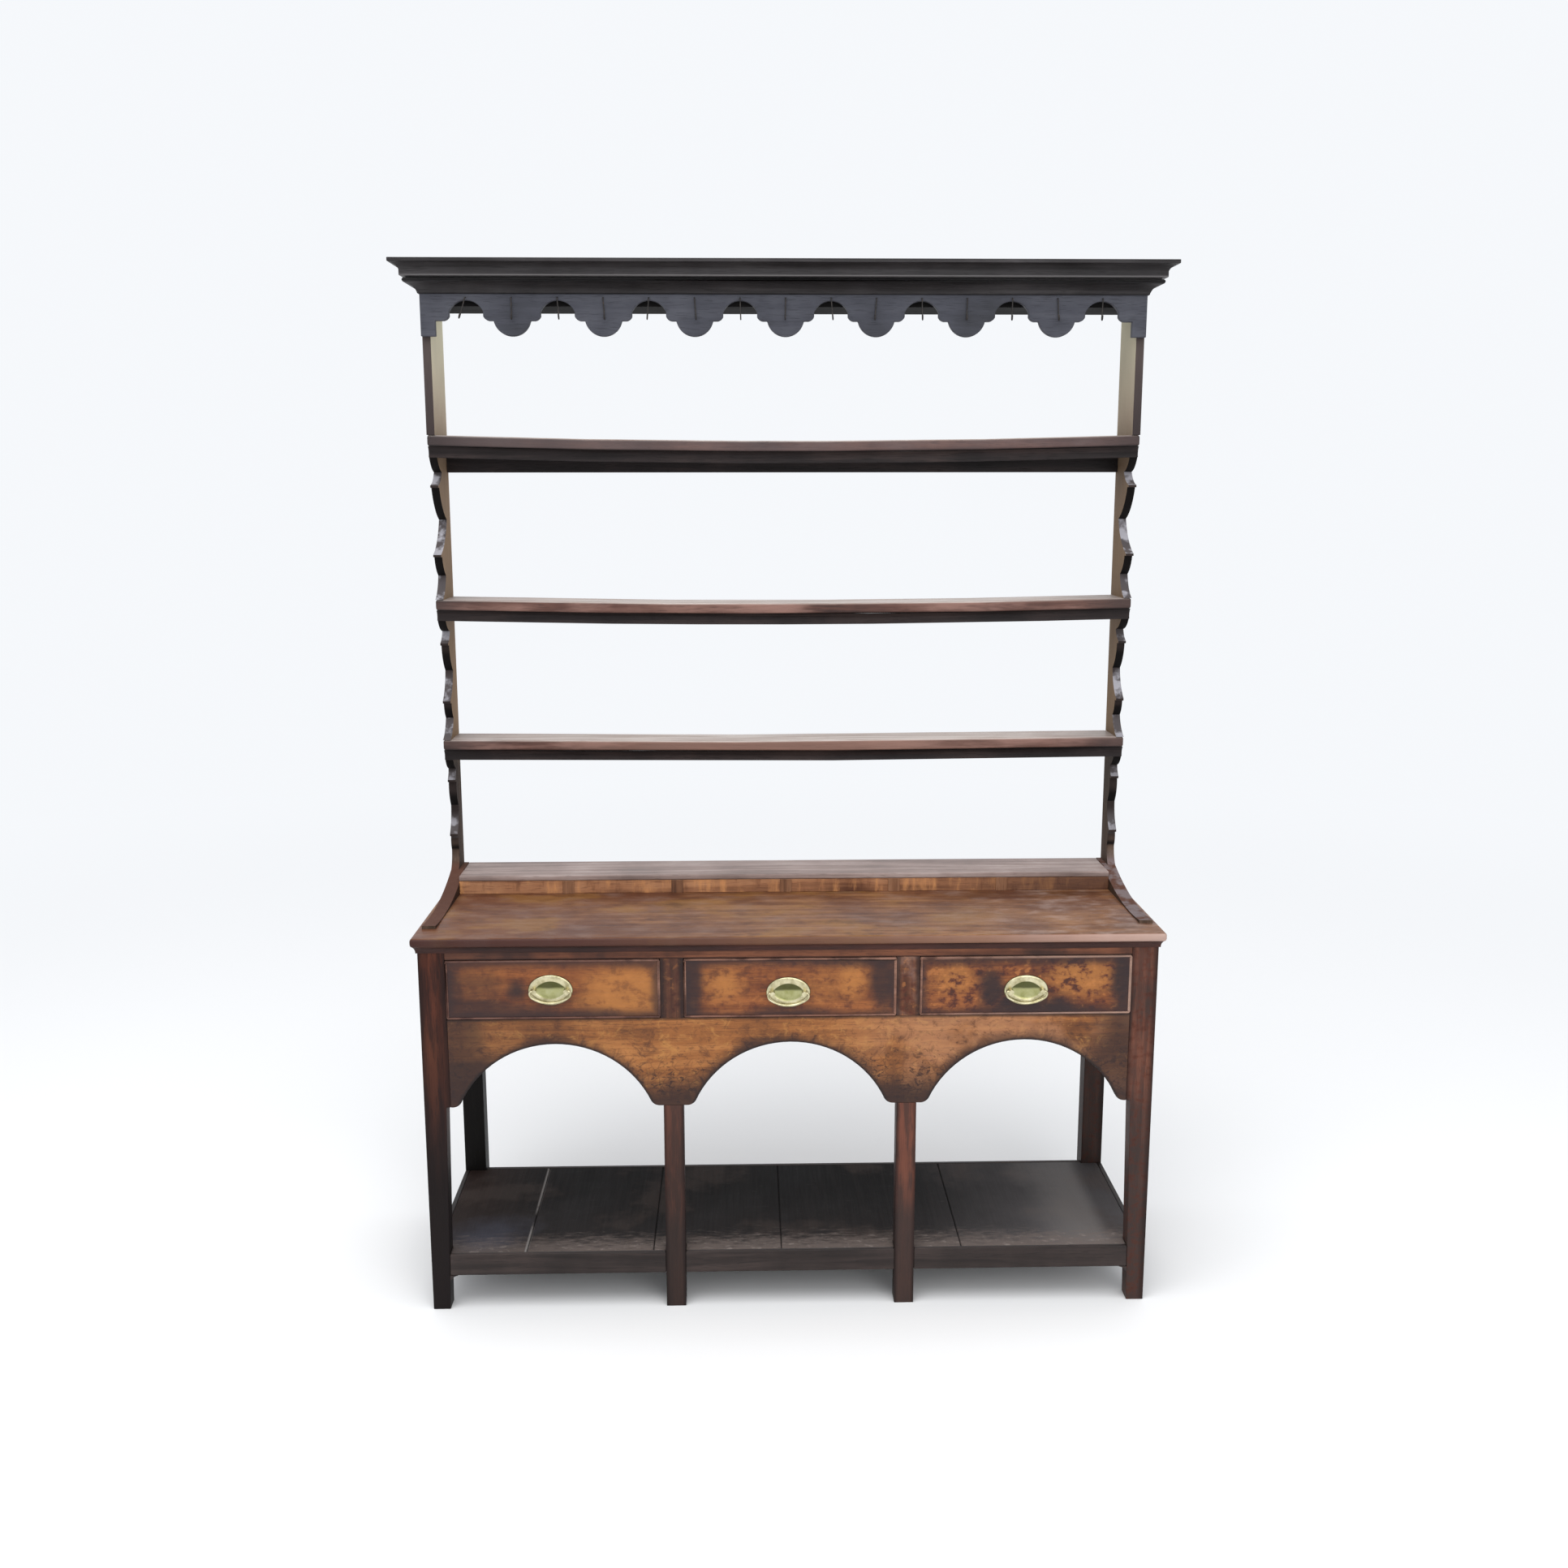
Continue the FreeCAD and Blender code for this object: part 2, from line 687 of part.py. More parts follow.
def buildDrawer(word, centre):
    name = f"drawer_{word}"
    face = caseFront
    width = openingWidth - s.drawerClear * 2
    left = centre - width / 2
    right = centre + width / 2
    low = drawerFloor + s.drawerClear
    high = openingTop - s.drawerClear
    frontBack = face + s.drawerFrontThickness
    proud = face - s.beadProud
    beadBack = face + s.beadDepth

    # cock beads: the top one covers the whole edge, the others stop in front of the dovetails
    bead = s.beadThickness
    beads = group(f"{name}_beads", [
        span(f"{name}_bead_top", (left, proud, high - bead), (right, frontBack, high)),
        span(f"{name}_bead_bottom", (left, proud, low), (right, beadBack, low + bead)),
        span(f"{name}_bead_left", (left, proud, low + bead), (left + bead, beadBack, high - bead)),
        span(f"{name}_bead_right", (right - bead, proud, low + bead), (right, beadBack, high - bead)),
    ])
    keep(f"{name}_cock_bead", beads)

    # sides with tails that lap into the back of the front
    tailLength = s.drawerFrontThickness - s.beadDepth
    sideLength = s.drawerLength - s.beadDepth
    pitch = s.drawerSideHeight / tailCount
    corners = [(tailLength, zero), (sideLength, zero), (sideLength, s.drawerSideHeight),
               (tailLength, s.drawerSideHeight)]
    for number in reversed(range(tailCount)):
        middle = pitch * (number + 0.5)
        corners += [
            (tailLength, middle + s.tailRootHeight / 2),
            (zero, middle + s.tailTipHeight / 2),
            (zero, middle - s.tailTipHeight / 2),
            (tailLength, middle - s.tailRootHeight / 2),
        ]
    bottomLow = drawerFloor + s.drawerBottomRaise
    bottomHigh = bottomLow + s.drawerBottomThickness
    groove = s.drawerSideThickness - s.grooveDepth
    bottom = span(f"{name}_bottom_board", (left + groove, frontBack - s.grooveDepth, bottomLow),
                  (right - groove, face + s.drawerLength, bottomHigh))
    keep(f"{name}_bottom", bottom)
    sides = []
    for end, x in (("left", left), ("right", right - s.drawerSideThickness)):
        blank = profile(f"{name}_side_{end}", "YZ_Plane", corners, s.drawerSideThickness,
                        (x, beadBack, drawerFloor))
        sides.append(cut(f"{name}_side_{end}_grooved", blank, bottom))
    keep(f"{name}_sides", group(f"{name}_side_set", sides))

    innerLeft = left + s.drawerSideThickness
    innerRight = right - s.drawerSideThickness
    backEnd = face + s.drawerLength
    keep(f"{name}_back", span(f"{name}_back_board", (innerLeft, backEnd - s.drawerBackThickness, bottomHigh),
                              (innerRight, backEnd, bottomHigh + s.drawerBackHeight)))

    aside, drop = handlePlaces[word]
    handleAcross = centre + aside
    handleUp = (low + high) / 2 - drop
    holes = [rod(f"{name}_bolt_hole_{side}", (handleAcross + s.postSpacing / 2 * side, face, handleUp),
                 s.postShankDiameter / 2 + s.boltClear, s.drawerFrontThickness, towardBack)
             for side in (-1, 1)]
    blank = span(f"{name}_front_board", (left, face, low), (right, frontBack, high))
    beaded = cut(f"{name}_front_beaded", blank, beads)
    jointed = cut(f"{name}_front_jointed", beaded, group(f"{name}_front_joints", sides + [bottom]))
    keep(f"{name}_front", cut(f"{name}_front_bored", jointed, group(f"{name}_bolt_holes", holes)))
    buildHandle(name, handleAcross, handleUp, face)


def buildHandle(name, centre, up, face):
    plateFront = face - s.plateThickness
    axisFront = plateFront - s.bailStandOff
    headFront = plateFront - s.postHeadLength

    # an oval backplate with a raised rim
    plate = doc.addObject("PartDesign::Body", f"{name}_backplate")
    outline = newSketch(plate, f"{name}_plate_outline", "XZ_Plane")
    drawEllipse(outline, "plate", s.plateWidth, s.plateHeight)
    pad = plate.newObject("PartDesign::Pad", f"{name}_plate_pad")
    pad.Profile = outline
    bind(pad, "Length", s.plateThickness)
    rimOutline = newSketch(plate, f"{name}_rim_outline", "XZ_Plane")
    drawEllipse(rimOutline, "rim", s.plateWidth, s.plateHeight)
    drawEllipse(rimOutline, "dish", s.plateWidth - s.plateRimWidth * 2, s.plateHeight - s.plateRimWidth * 2)
    rim = plate.newObject("PartDesign::Pad", f"{name}_rim_pad")
    rim.Profile = rimOutline
    bind(rim, "Length", s.plateThickness + s.plateRimProud)
    place(plate, (centre, face, up))
    holes = [rod(f"{name}_plate_hole_{side}", (centre + s.postSpacing / 2 * side, headFront, up),
                 s.postHeadDiameter / 2 + s.boltClear, s.postHeadLength + s.plateThickness, towardBack)
             for side in (-1, 1)]
    keep(f"{name}_handle_plate", cut(f"{name}_plate_bored", plate, group(f"{name}_plate_holes", holes)))

    # posts stand on the drawer front, bored across for the bail, bolted through with a nut behind
    nutFront = face + s.drawerFrontThickness
    pieces = []
    for side in (-1, 1):
        x = centre + s.postSpacing / 2 * side
        head = rod(f"{name}_post_head_{side}", (x, headFront, up), s.postHeadDiameter / 2,
                   s.postHeadLength + s.plateThickness, towardBack)
        shank = rod(f"{name}_post_shank_{side}", (x, face, up), s.postShankDiameter / 2,
                    s.drawerFrontThickness + s.nutThickness + s.nutBeyond, towardBack)
        bore = rod(f"{name}_post_bore_{side}", (x - s.postHeadDiameter, axisFront, up),
                   s.bailRod / 2 + s.bailRunClear, s.postHeadDiameter * 2, towardRight)
        solid = fuse(f"{name}_post_solid_{side}", [head, shank])
        pieces.append(cut(f"{name}_post_{side}", solid, bore))
        nut = block(f"{name}_nut_blank_{side}", (x - s.nutAcross / 2, nutFront, up - s.nutAcross / 2),
                    (s.nutAcross, s.nutThickness, s.nutAcross))
        thread = rod(f"{name}_nut_thread_{side}", (x, nutFront, up),
                     s.postShankDiameter / 2 + s.threadClear, s.nutThickness, towardBack)
        pieces.append(cut(f"{name}_nut_{side}", nut, thread))
    keep(f"{name}_handle_posts", group(f"{name}_post_set", pieces))

    # the bail: a pin in each post, an elbow, a tight corner and one long low curve between the corners
    pin = s.bailPinInside + s.bailPinOutside
    elbow = s.bailElbowRadius
    corner = s.bailCornerRadius
    half = s.postSpacing / 2 - s.bailPinInside + pin + elbow
    inset = half - corner
    lowRadius = (inset * inset + s.bailDrop * s.bailDrop - corner * corner) / ((s.bailDrop - corner) * 2)
    share = lowRadius / (lowRadius - corner)
    meetAcross = inset * share
    meetDown = elbow - lowRadius + s.bailDrop + (lowRadius - s.bailDrop) * share
    start = half - pin - elbow
    route = [
        (zero, zero),
        (pin, zero, curve(elbow, True)),
        (pin + elbow, -elbow, curve(corner, True)),
        (meetAcross - start, -meetDown, curve(lowRadius, True)),
        (-meetAcross - start, -meetDown, curve(corner, True)),
        (-half - start, -elbow, curve(elbow, True)),
        (-half - start + elbow, zero),
        (-start * 2, zero),
    ]
    keep(f"{name}_bail", wire(f"{name}_bail_rod", s.bailRod, route, (centre + start, axisFront, up)))


# Plate rack

rackBack = topBack
rackFront = rackBack - s.rackDepth
rackInner = caseHalf - s.sideThickness
rackFootInner = caseHalf - s.footThickness
corniceLow = s.overallHeight - s.corniceHeight
rackTop = s.overallHeight - s.friezeTopMargin
nosingDepth = s.shelfMouldSetBack + s.shelfMouldThickness
underShelf = s.shelfThickness + s.shelfMouldHeight
# a shelf's height is that of its top at the ends, and its sag is how far the middle hangs below them
shelves = (
    ("top", s.topShelfHeight, s.rackDepth, s.topShelfSag),
    ("middle", s.middleShelfHeight, s.middleShelfDepth, s.middleShelfSag),
    ("bottom", s.bottomShelfHeight, s.bottomShelfDepth, s.bottomShelfSag),
)


def scallop(upper, upperWidth, lower, lowerWidth, cusp, dip):
    """Corners up the front edge of a side, from lower to the moulding at upper and past the shelf."""
    scale = (upper - lower) / s.scallopGap

    def level(drop):
        return upper - drop * scale

    bulge = sweep(s.scallopSweep, False)
    hollow = sweep(s.scallopSweep, True)
    corners = [
        (lowerWidth, lower, hollow),
        (dip, level(s.scallopLowerDipDrop), bulge),
        (cusp - s.cuspStep, level(s.scallopLowerCuspDrop) - s.cuspTip),
        (cusp, level(s.scallopLowerCuspDrop) - s.cuspTip),
        (cusp, level(s.scallopLowerCuspDrop), hollow),
        (s.scallopNotchWidth, level(s.scallopNotchDrop), bulge),
        (cusp - s.cuspStep, level(s.scallopCuspDrop) - s.cuspTip),
        (cusp, level(s.scallopCuspDrop) - s.cuspTip),
        (cusp, level(s.scallopCuspDrop), hollow),
        (dip, level(s.scallopDipDrop), bulge),
        (upperWidth - nosingDepth, upper),
        (upperWidth - nosingDepth, upper + underShelf),
    ]
    return corners


def buildRackSides(housed):
    # outline measured forward from the back of the rack and up from the base top
    lifts = [height - s.baseHeight for word, height, depth, sag in shelves]
    depths = [depth for word, height, depth, sag in shelves]
    cusps = (s.topCuspWidth, s.middleCuspWidth, s.bottomCuspWidth)
    dips = (s.topDipWidth, s.middleDipWidth, s.bottomDipWidth)
    gaps = [
        scallop(lifts[2] - underShelf, depths[2], s.footHeelHeight, s.footHeelWidth, cusps[2], dips[2]),
        scallop(lifts[1] - underShelf, depths[1], lifts[2], depths[2], cusps[1], dips[1]),
        scallop(lifts[0] - underShelf, depths[0], lifts[1], depths[1], cusps[0], dips[0]),
    ]
    toe = [(zero, zero), (s.footReach, zero), (s.footReach, s.footToeHeight, sweep(s.footSweep, True))]
    footCorners = toe + [(s.footHeelWidth, s.footHeelHeight), (zero, s.footHeelHeight)]
    corners = list(toe)
    for gap in gaps:
        corners += gap
    top = rackTop - s.baseHeight
    corners += [(s.rackDepth, lifts[0]), (s.rackDepth, top), (zero, top)]
    turn = Rotation(Vector(0, 0, 1), 180)
    for side, word in ((-1, "left"), (1, "right")):
        face = -rackInner if side < 0 else caseHalf
        footFace = -rackFootInner if side < 0 else caseHalf
        blank = profile(f"rack_side_blank_{word}", "YZ_Plane", corners, s.sideThickness,
                        (face, rackBack, s.baseHeight), turn)
        foot = profile(f"rack_foot_blank_{word}", "YZ_Plane", footCorners, s.footThickness,
                       (footFace, rackBack, s.baseHeight), turn)
        footed = fuse(f"rack_side_footed_{word}", [blank, foot])
        keep(f"rack_side_{word}", cut(f"rack_side_housed_{word}", footed, housed))


def hangingMoulding(name, corners, radius, corner):
    """A moulding under a shelf that sags, turned about the far centre of the arc in which the shelf hangs."""
    body = doc.addObject("PartDesign::Body", name)
    sketch = newSketch(body, f"{name}_section", "YZ_Plane")
    draw(sketch, corners)
    turned = body.newObject("PartDesign::Revolution", f"{name}_turned")
    turned.Profile = sketch
    turned.ReferenceAxis = (originPlane(body, "Y_Axis"), [""])
    turned.Midplane = True
    bind(turned, "Angle", (caseHalf / (radius + s.shelfMouldHeight)).arcSine() * 2)
    return place(body, corner)


def buildRack():
    housedHalf = rackInner + s.housingDepth
    margin = s.housingDepth
    boards = []
    mouldings = []
    for word, height, depth, sag in shelves:
        front = rackBack - depth
        low = height - s.shelfThickness
        radius = (caseHalf * caseHalf + sag * sag) / (sag * 2)
        corners = (
            (zero, zero, curve(radius, False)),
            (s.baseWidth, zero),
            (s.baseWidth, s.shelfThickness, curve(radius, True)),
            (zero, s.shelfThickness),
        )
        plank = profile(f"shelf_plank_{word}", "XZ_Plane", corners, depth, (-caseHalf, front, low), flip=True)
        # the shelf's front and moulding run across in front of the sides, and the rest is housed in them
        behind = front + nosingDepth
        ends = [
            span(f"shelf_end_left_{word}", (-caseHalf - margin, behind, low - margin - sag),
                 (-housedHalf, rackBack + margin, height + margin)),
            span(f"shelf_end_right_{word}", (housedHalf, behind, low - margin - sag),
                 (caseHalf + margin, rackBack + margin, height + margin)),
        ]
        housed = cut(f"shelf_housed_{word}", plank, group(f"shelf_ends_{word}", ends))
        boards.append(keep(f"shelf_{word}", housed))
        mouldTop = -radius
        mouldLow = mouldTop - s.shelfMouldHeight
        corners = (
            (s.shelfMouldThickness, mouldLow),
            (s.shelfMouldThickness, mouldTop),
            (zero, mouldTop, sweep(s.shelfMouldSweep, True)),
            (s.shelfMouldThickness - s.shelfMouldFoot, mouldLow),
        )
        mouldings.append(hangingMoulding(f"shelf_mould_{word}", corners, radius,
                                         (zero, front + s.shelfMouldSetBack, low - sag + radius)))
    keep("shelf_mouldings", group("shelf_mould_set", mouldings))
    underTop = s.topShelfHeight - s.shelfThickness
    railFront = rackBack - s.backRailThickness
    rail = span("back_rail_under_shelf", (-rackInner, railFront, underTop - s.backRailHeight),
                (rackInner, rackBack, underTop))
    keep("shelf_back_rail", cut("back_rail_fitted", rail, nodes["shelf_top"]))
    dustLow = corniceLow - s.dustBoardDrop
    dust = span("dust_board_plank", (-housedHalf, rackFront, dustLow),
                (housedHalf, rackBack, dustLow + s.dustBoardThickness))
    boards.append(keep("dust_board", dust))
    buildRackSides(group("housed_boards", boards))


def buildUpstand():
    front = rackBack - s.upstandDepth
    top = s.baseHeight + s.upstandHeight
    underTop = top - s.upstandTopThickness
    keep("upstand_top", span("upstand_shelf", (-rackFootInner, front, underTop),
                             (rackFootInner, rackBack, top)))
    panelFront = front + s.upstandDividerProud
    panelBack = panelFront + s.upstandFrontThickness
    keep("upstand_front", span("upstand_panel", (-rackFootInner, panelFront, s.baseHeight),
                               (rackFootInner, panelBack, underTop)))
    pitch = rackFootInner * 2 / upstandBays
    dividers = []
    for number in range(1, upstandBays):
        left = pitch * (number - upstandBays / 2) - s.upstandDividerWidth / 2
        dividers.append(span(f"upstand_divider_{number}", (left, front, s.baseHeight),
                             (left + s.upstandDividerWidth, panelFront, underTop)))
    keep("upstand_dividers", group("upstand_divider_set", dividers))


def buildFrieze():
    low = corniceLow - s.friezeDrop
    front = rackFront - s.friezeThickness
    pitch = s.baseWidth / friezeArches
    top = rackTop - low
    ledge = s.ledgeHeight
    shoulder = sweep(s.shoulderSweep, False)
    arch = sweep(s.friezeArchSweep, True)
    lobe = sweep(s.lobeSweep, False)
    corners = [(zero, top), (zero, zero), (s.bracketWidth, zero), (s.bracketWidth, ledge)]
    for number in range(friezeArches):
        left = pitch * (number + 0.5) - s.friezeArchHalfWidth
        right = pitch * (number + 0.5) + s.friezeArchHalfWidth
        corners += [
            (left - s.shoulderWidth, ledge, shoulder),
            (left, ledge + s.shoulderRise),
            (left, s.friezeArchSpring, arch),
            (right, s.friezeArchSpring),
            (right, ledge + s.shoulderRise, shoulder),
            (right + s.shoulderWidth, ledge),
        ]
        if number < friezeArches - 1:
            nextLobe = pitch * (number + 1)
            corners += [
                (nextLobe - s.lobeHalfWidth, ledge, lobe),
                (nextLobe + s.lobeHalfWidth, ledge),
            ]
    wide = s.baseWidth
    corners += [(wide - s.bracketWidth, ledge), (wide - s.bracketWidth, zero), (wide, zero), (wide, top)]
    keep("frieze", profile("shaped_frieze", "XZ_Plane", corners, s.friezeThickness,
                           (-caseHalf, front, low), flip=True))


def buildCornice():
    astragalLow = s.coveHeight
    astragalTop = astragalLow + s.astragalHeight
    fasciaLow = astragalTop + s.quirkHeight
    crownLow = fasciaLow + s.fasciaHeight
    crownTop = s.corniceHeight - s.crownFillet
    corners = (
        (zero, zero),
        (s.corniceFoot, zero, sweep(s.coveSweep, True)),
        (s.coveReach, astragalLow),
        (s.astragalReach, astragalLow, sweep(s.astragalSweep, False)),
        (s.astragalReach, astragalTop),
        (s.coveReach, astragalTop),
        (s.coveReach, fasciaLow),
        (s.fasciaReach, fasciaLow),
        (s.fasciaReach, crownLow, sweep(s.crownSweep, True)),
        (s.crownReach, crownTop),
        (s.corniceReach, crownTop),
        (s.corniceReach, s.corniceHeight),
        (zero, s.corniceHeight),
    )
    keep("cornice", mitredMoulding("cornice_run", corners, caseHalf, rackFront - s.friezeThickness, rackBack,
                                   corniceLow, s.corniceReach, s.corniceHeight))


def buildHooks():
    # wire hooks driven into the frieze over the middle of each arch and each lobe
    front = rackFront - s.friezeThickness
    up = corniceLow - s.hookBelowCornice
    run = s.hookPin + s.hookStandOff - s.hookElbow
    drop = s.hookElbow + s.hookStem
    reach = s.hookPin + s.hookStandOff
    route = [
        (zero, zero),
        (run, zero, curve(s.hookElbow, True)),
        (reach, -s.hookElbow),
        (reach, -drop, curve(s.hookCurl, False)),
        (reach + s.hookCurl, -drop - s.hookCurl, curve(s.hookCurl, False)),
        (reach + s.hookCurl * 2, -drop),
        (reach + s.hookCurl * 2, -drop + s.hookTip),
    ]
    turn = Rotation(Vector(0, 0, 1), -90)
    hooks = []
    places = friezeArches * 2 - 1
    for number in range(1, places + 1):
        x = s.baseWidth / (friezeArches * 2) * number - caseHalf
        hooks.append(wire(f"hook_{number}", s.hookWire, route, (x, front + s.hookPin, up), turn))
    keep("plate_hooks", group("hook_set", hooks))


def build():
    buildBaseTop()
    buildLegs()
    buildFrontFrame()
    buildCasePanels()
    buildRunners()
    buildPotboard()
    for word, centre in zip(drawerNames, bayCentres):
        buildDrawer(word, centre)
    buildRack()
    buildUpstand()
    buildFrieze()
    buildCornice()
    buildHooks()
    doc.recompute()


def check():
    faults = [item.Label for item in doc.Objects if {"Invalid", "Error"} & set(item.State)]
    for label, item in nodes.items():
        shape = item.Shape
        if shape.isNull() or not shape.isValid() or not shape.Solids:
            faults.append(label)
    if faults:
        raise RuntimeError("failed: " + ", ".join(faults))


def write():
    os.makedirs("parts", exist_ok=True)
    for label, item in nodes.items():
        item.Shape.exportStep(os.path.join("parts", f"{label}.step"))


build()
check()
write()
for label, item in nodes.items():
    box = item.Shape.BoundBox
    print(f"{label}: {len(item.Shape.Solids)} solids, {item.Shape.Volume / 1000:.1f} cm3,",
          f"x {box.XMin:.1f}..{box.XMax:.1f}",
          f"y {box.YMin:.1f}..{box.YMax:.1f}",
          f"z {box.ZMin:.1f}..{box.ZMax:.1f}")
print(len(nodes), "nodes")
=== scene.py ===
import json
import math
import random

import bmesh
import bpy
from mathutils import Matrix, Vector


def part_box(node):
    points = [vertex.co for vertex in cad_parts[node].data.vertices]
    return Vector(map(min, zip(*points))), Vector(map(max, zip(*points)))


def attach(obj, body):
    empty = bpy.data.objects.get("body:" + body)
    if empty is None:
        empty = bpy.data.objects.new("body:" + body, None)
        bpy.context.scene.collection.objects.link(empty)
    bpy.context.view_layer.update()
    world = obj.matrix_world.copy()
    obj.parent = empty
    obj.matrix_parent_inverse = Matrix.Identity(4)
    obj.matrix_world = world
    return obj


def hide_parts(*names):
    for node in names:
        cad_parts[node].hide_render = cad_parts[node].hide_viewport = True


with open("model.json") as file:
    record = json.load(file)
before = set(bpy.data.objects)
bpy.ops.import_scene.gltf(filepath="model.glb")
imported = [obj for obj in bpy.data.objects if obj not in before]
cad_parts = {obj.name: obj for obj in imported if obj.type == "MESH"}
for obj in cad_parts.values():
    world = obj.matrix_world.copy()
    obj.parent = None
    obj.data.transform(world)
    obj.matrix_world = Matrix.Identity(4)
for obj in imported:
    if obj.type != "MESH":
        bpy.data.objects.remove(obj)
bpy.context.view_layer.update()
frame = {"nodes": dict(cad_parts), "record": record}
nodes = frame["nodes"]
slotOf = {part["node"]: part["material_slot"] for part in frame["record"]["subparts"]}
drawerWords = ("left", "middle", "right")
print("frame loaded:", len(nodes), "nodes")


# shader maths: a Field is one socket of a finish

def mathOn(operation, *values):
    finish = next(value.finish for value in values if isinstance(value, Field))
    return finish.add("ShaderNodeMath", {"operation": operation}, dict(enumerate(values)))


class Field:
    def __init__(self, finish, socket):
        self.finish = finish
        self.socket = socket

    def __add__(self, other):
        return mathOn("ADD", self, other)

    def __radd__(self, other):
        return mathOn("ADD", other, self)

    def __sub__(self, other):
        return mathOn("SUBTRACT", self, other)

    def __rsub__(self, other):
        return mathOn("SUBTRACT", other, self)

    def __mul__(self, other):
        return mathOn("MULTIPLY", self, other)

    def __rmul__(self, other):
        return mathOn("MULTIPLY", other, self)

    def __truediv__(self, other):
        return mathOn("DIVIDE", self, other)

    def __rtruediv__(self, other):
        return mathOn("DIVIDE", other, self)

    def __neg__(self):
        return mathOn("MULTIPLY", self, -1)

    def __abs__(self):
        return mathOn("ABSOLUTE", self)

    def lower(self, other):
        return mathOn("MINIMUM", self, other)

    def higher(self, other):
        return mathOn("MAXIMUM", self, other)

    def root(self):
        return mathOn("SQRT", self)

    def ripple(self):
        return mathOn("SINE", self) * 0.5 + 0.5

    def stray(self, noise, reach):  # shifts a value to and fro by a noise
        return self + (noise - 0.5) * reach


class Finish:
    def __init__(self, name):
        self.material = bpy.data.materials.new(name)
        self.material.use_nodes = True
        self.tree = self.material.node_tree
        self.surface = self.tree.nodes["Principled BSDF"]

    def feed(self, socket, value):
        if isinstance(value, Field):
            self.tree.links.new(value.socket, socket)
        else:
            socket.default_value = value

    def add(self, kind, settings=None, inputs=None, output=0):
        node = self.tree.nodes.new(kind)
        for key, value in (settings or {}).items():
            if key == "stops":
                self.setStops(node.color_ramp, value)
            else:
                setattr(node, key, value)
        for key, value in (inputs or {}).items():
            self.feed(node.inputs[key], value)
        return Field(self, node.outputs[output])

    def setStops(self, ramp, stops):
        while len(ramp.elements) < len(stops):
            ramp.elements.new(0.5)
        for element, (position, colour) in zip(ramp.elements, stops):
            element.position = position
            element.color = colour

    def place(self):
        return self.add("ShaderNodeTexCoord", output="Object")

    def split(self, vector):
        node = self.add("ShaderNodeSeparateXYZ", inputs={0: vector}).socket.node
        return [Field(self, socket) for socket in node.outputs]

    def join(self, x, y, z):
        return self.add("ShaderNodeCombineXYZ", inputs={0: x, 1: y, 2: z})

    def facing(self):
        return self.split(self.add("ShaderNodeNewGeometry", output="Normal"))

    def noise(self, vector, scale, detail=2.0, roughness=0.5, distortion=0.0):
        return self.add("ShaderNodeTexNoise", inputs={
            "Vector": vector, "Scale": scale,
            "Detail": detail, "Roughness": roughness, "Distortion": distortion})

    def pattern(self, x, y, z, shape):  # noise stretched along the axes
        wide, deep, tall, *settings = shape
        return self.noise(self.join(x * wide, y * deep, z * tall), 1.0, *settings)

    def fade(self, value, start, end):  # 0 at start, 1 at end, smooth between
        return self.add("ShaderNodeMapRange", {"interpolation_type": "SMOOTHSTEP"},
                        {"Value": value, "From Min": start, "From Max": end})

    def ramp(self, value, stops):  # from one tone to the next
        colours = [(share, ink(*tone)) for share, tone in stops]
        return self.add("ShaderNodeValToRGB", {"stops": colours}, {0: value})

    def along(self, value, stops):  # tones at given places along an axis
        first, last = stops[0][0], stops[-1][0]
        share = (value - first) / (last - first)
        return self.ramp(share, [((place - first) / (last - first), tone) for place, tone in stops])

    def cracks(self, x, y, z, scale, width):
        wander = self.noise(self.join(x, y, z), scale * 0.9, 3.0) * (0.9 / scale)
        edge = self.add("ShaderNodeTexVoronoi", {"feature": "DISTANCE_TO_EDGE"},
                        {"Vector": self.join(x + wander, y, z + wander), "Scale": scale})
        return self.fade(edge, width, 0.0)

    def blend(self, share, first, second):
        return self.add("ShaderNodeMix", {"data_type": "RGBA", "clamp_factor": True},
                        {0: share, 6: first, 7: second}, 2)

    def tint(self, colour, where, tone):  # lays a tone over a colour
        *screen, share = tone
        return self.blend(where * share, colour, ink(*screen))

    def wash(self, colour, value, layer, where=1):  # a tone that comes in along a value
        tone, span = layer
        return self.tint(colour, self.fade(value, *span) * where, tone)

    def bump(self, height, strength, distance):
        return self.add("ShaderNodeBump", inputs={
            "Height": height, "Strength": strength, "Distance": distance})

    def shine(self, **sockets):
        for name, value in sockets.items():
            self.feed(self.surface.inputs[name.replace("_", " ").title()], value)


def ink(red, green, blue):  # a colour as it looks on a screen, turned linear
    def channel(value):
        value /= 255
        return value / 12.92 if value <= 0.04045 else ((value + 0.055) / 1.055) ** 2.4
    return channel(red), channel(green), channel(blue), 1.0


# old oak: growth lines, fibre, open pores and clouds of wax, with the grain along one axis
# a shape sets a noise: its scales along three axes, detail, roughness and distortion

oakBase = {
    "grain": "x",
    "seed": 0.0,
    "wanderShape": (1.5, 2.4, 2.4, 2.0),
    "wander": 0.05,
    "ringShape": (0.7, 26.0, 26.0, 3.0),
    "ringLines": 26.0,
    "ringShare": 0.34,
    "fibreShape": (8, 210, 210, 2.0, 0.6),
    "fibreShare": 0.30,
    "cloudScale": 6.0,
    "cloudDetail": 4.0,
    "cloudRoughness": 0.55,
    "cloudShare": 0.75,
    "poreShape": (30, 620, 620, 1.0),
    "poreSpan": (0.58, 0.68),
    "poreShare": 0.45,
    "roughness": 0.5,
    "specular": 0.25,
    "coat": 0.0,
    "grainStrength": 0.6,
    "grainDepth": 0.0005,
}


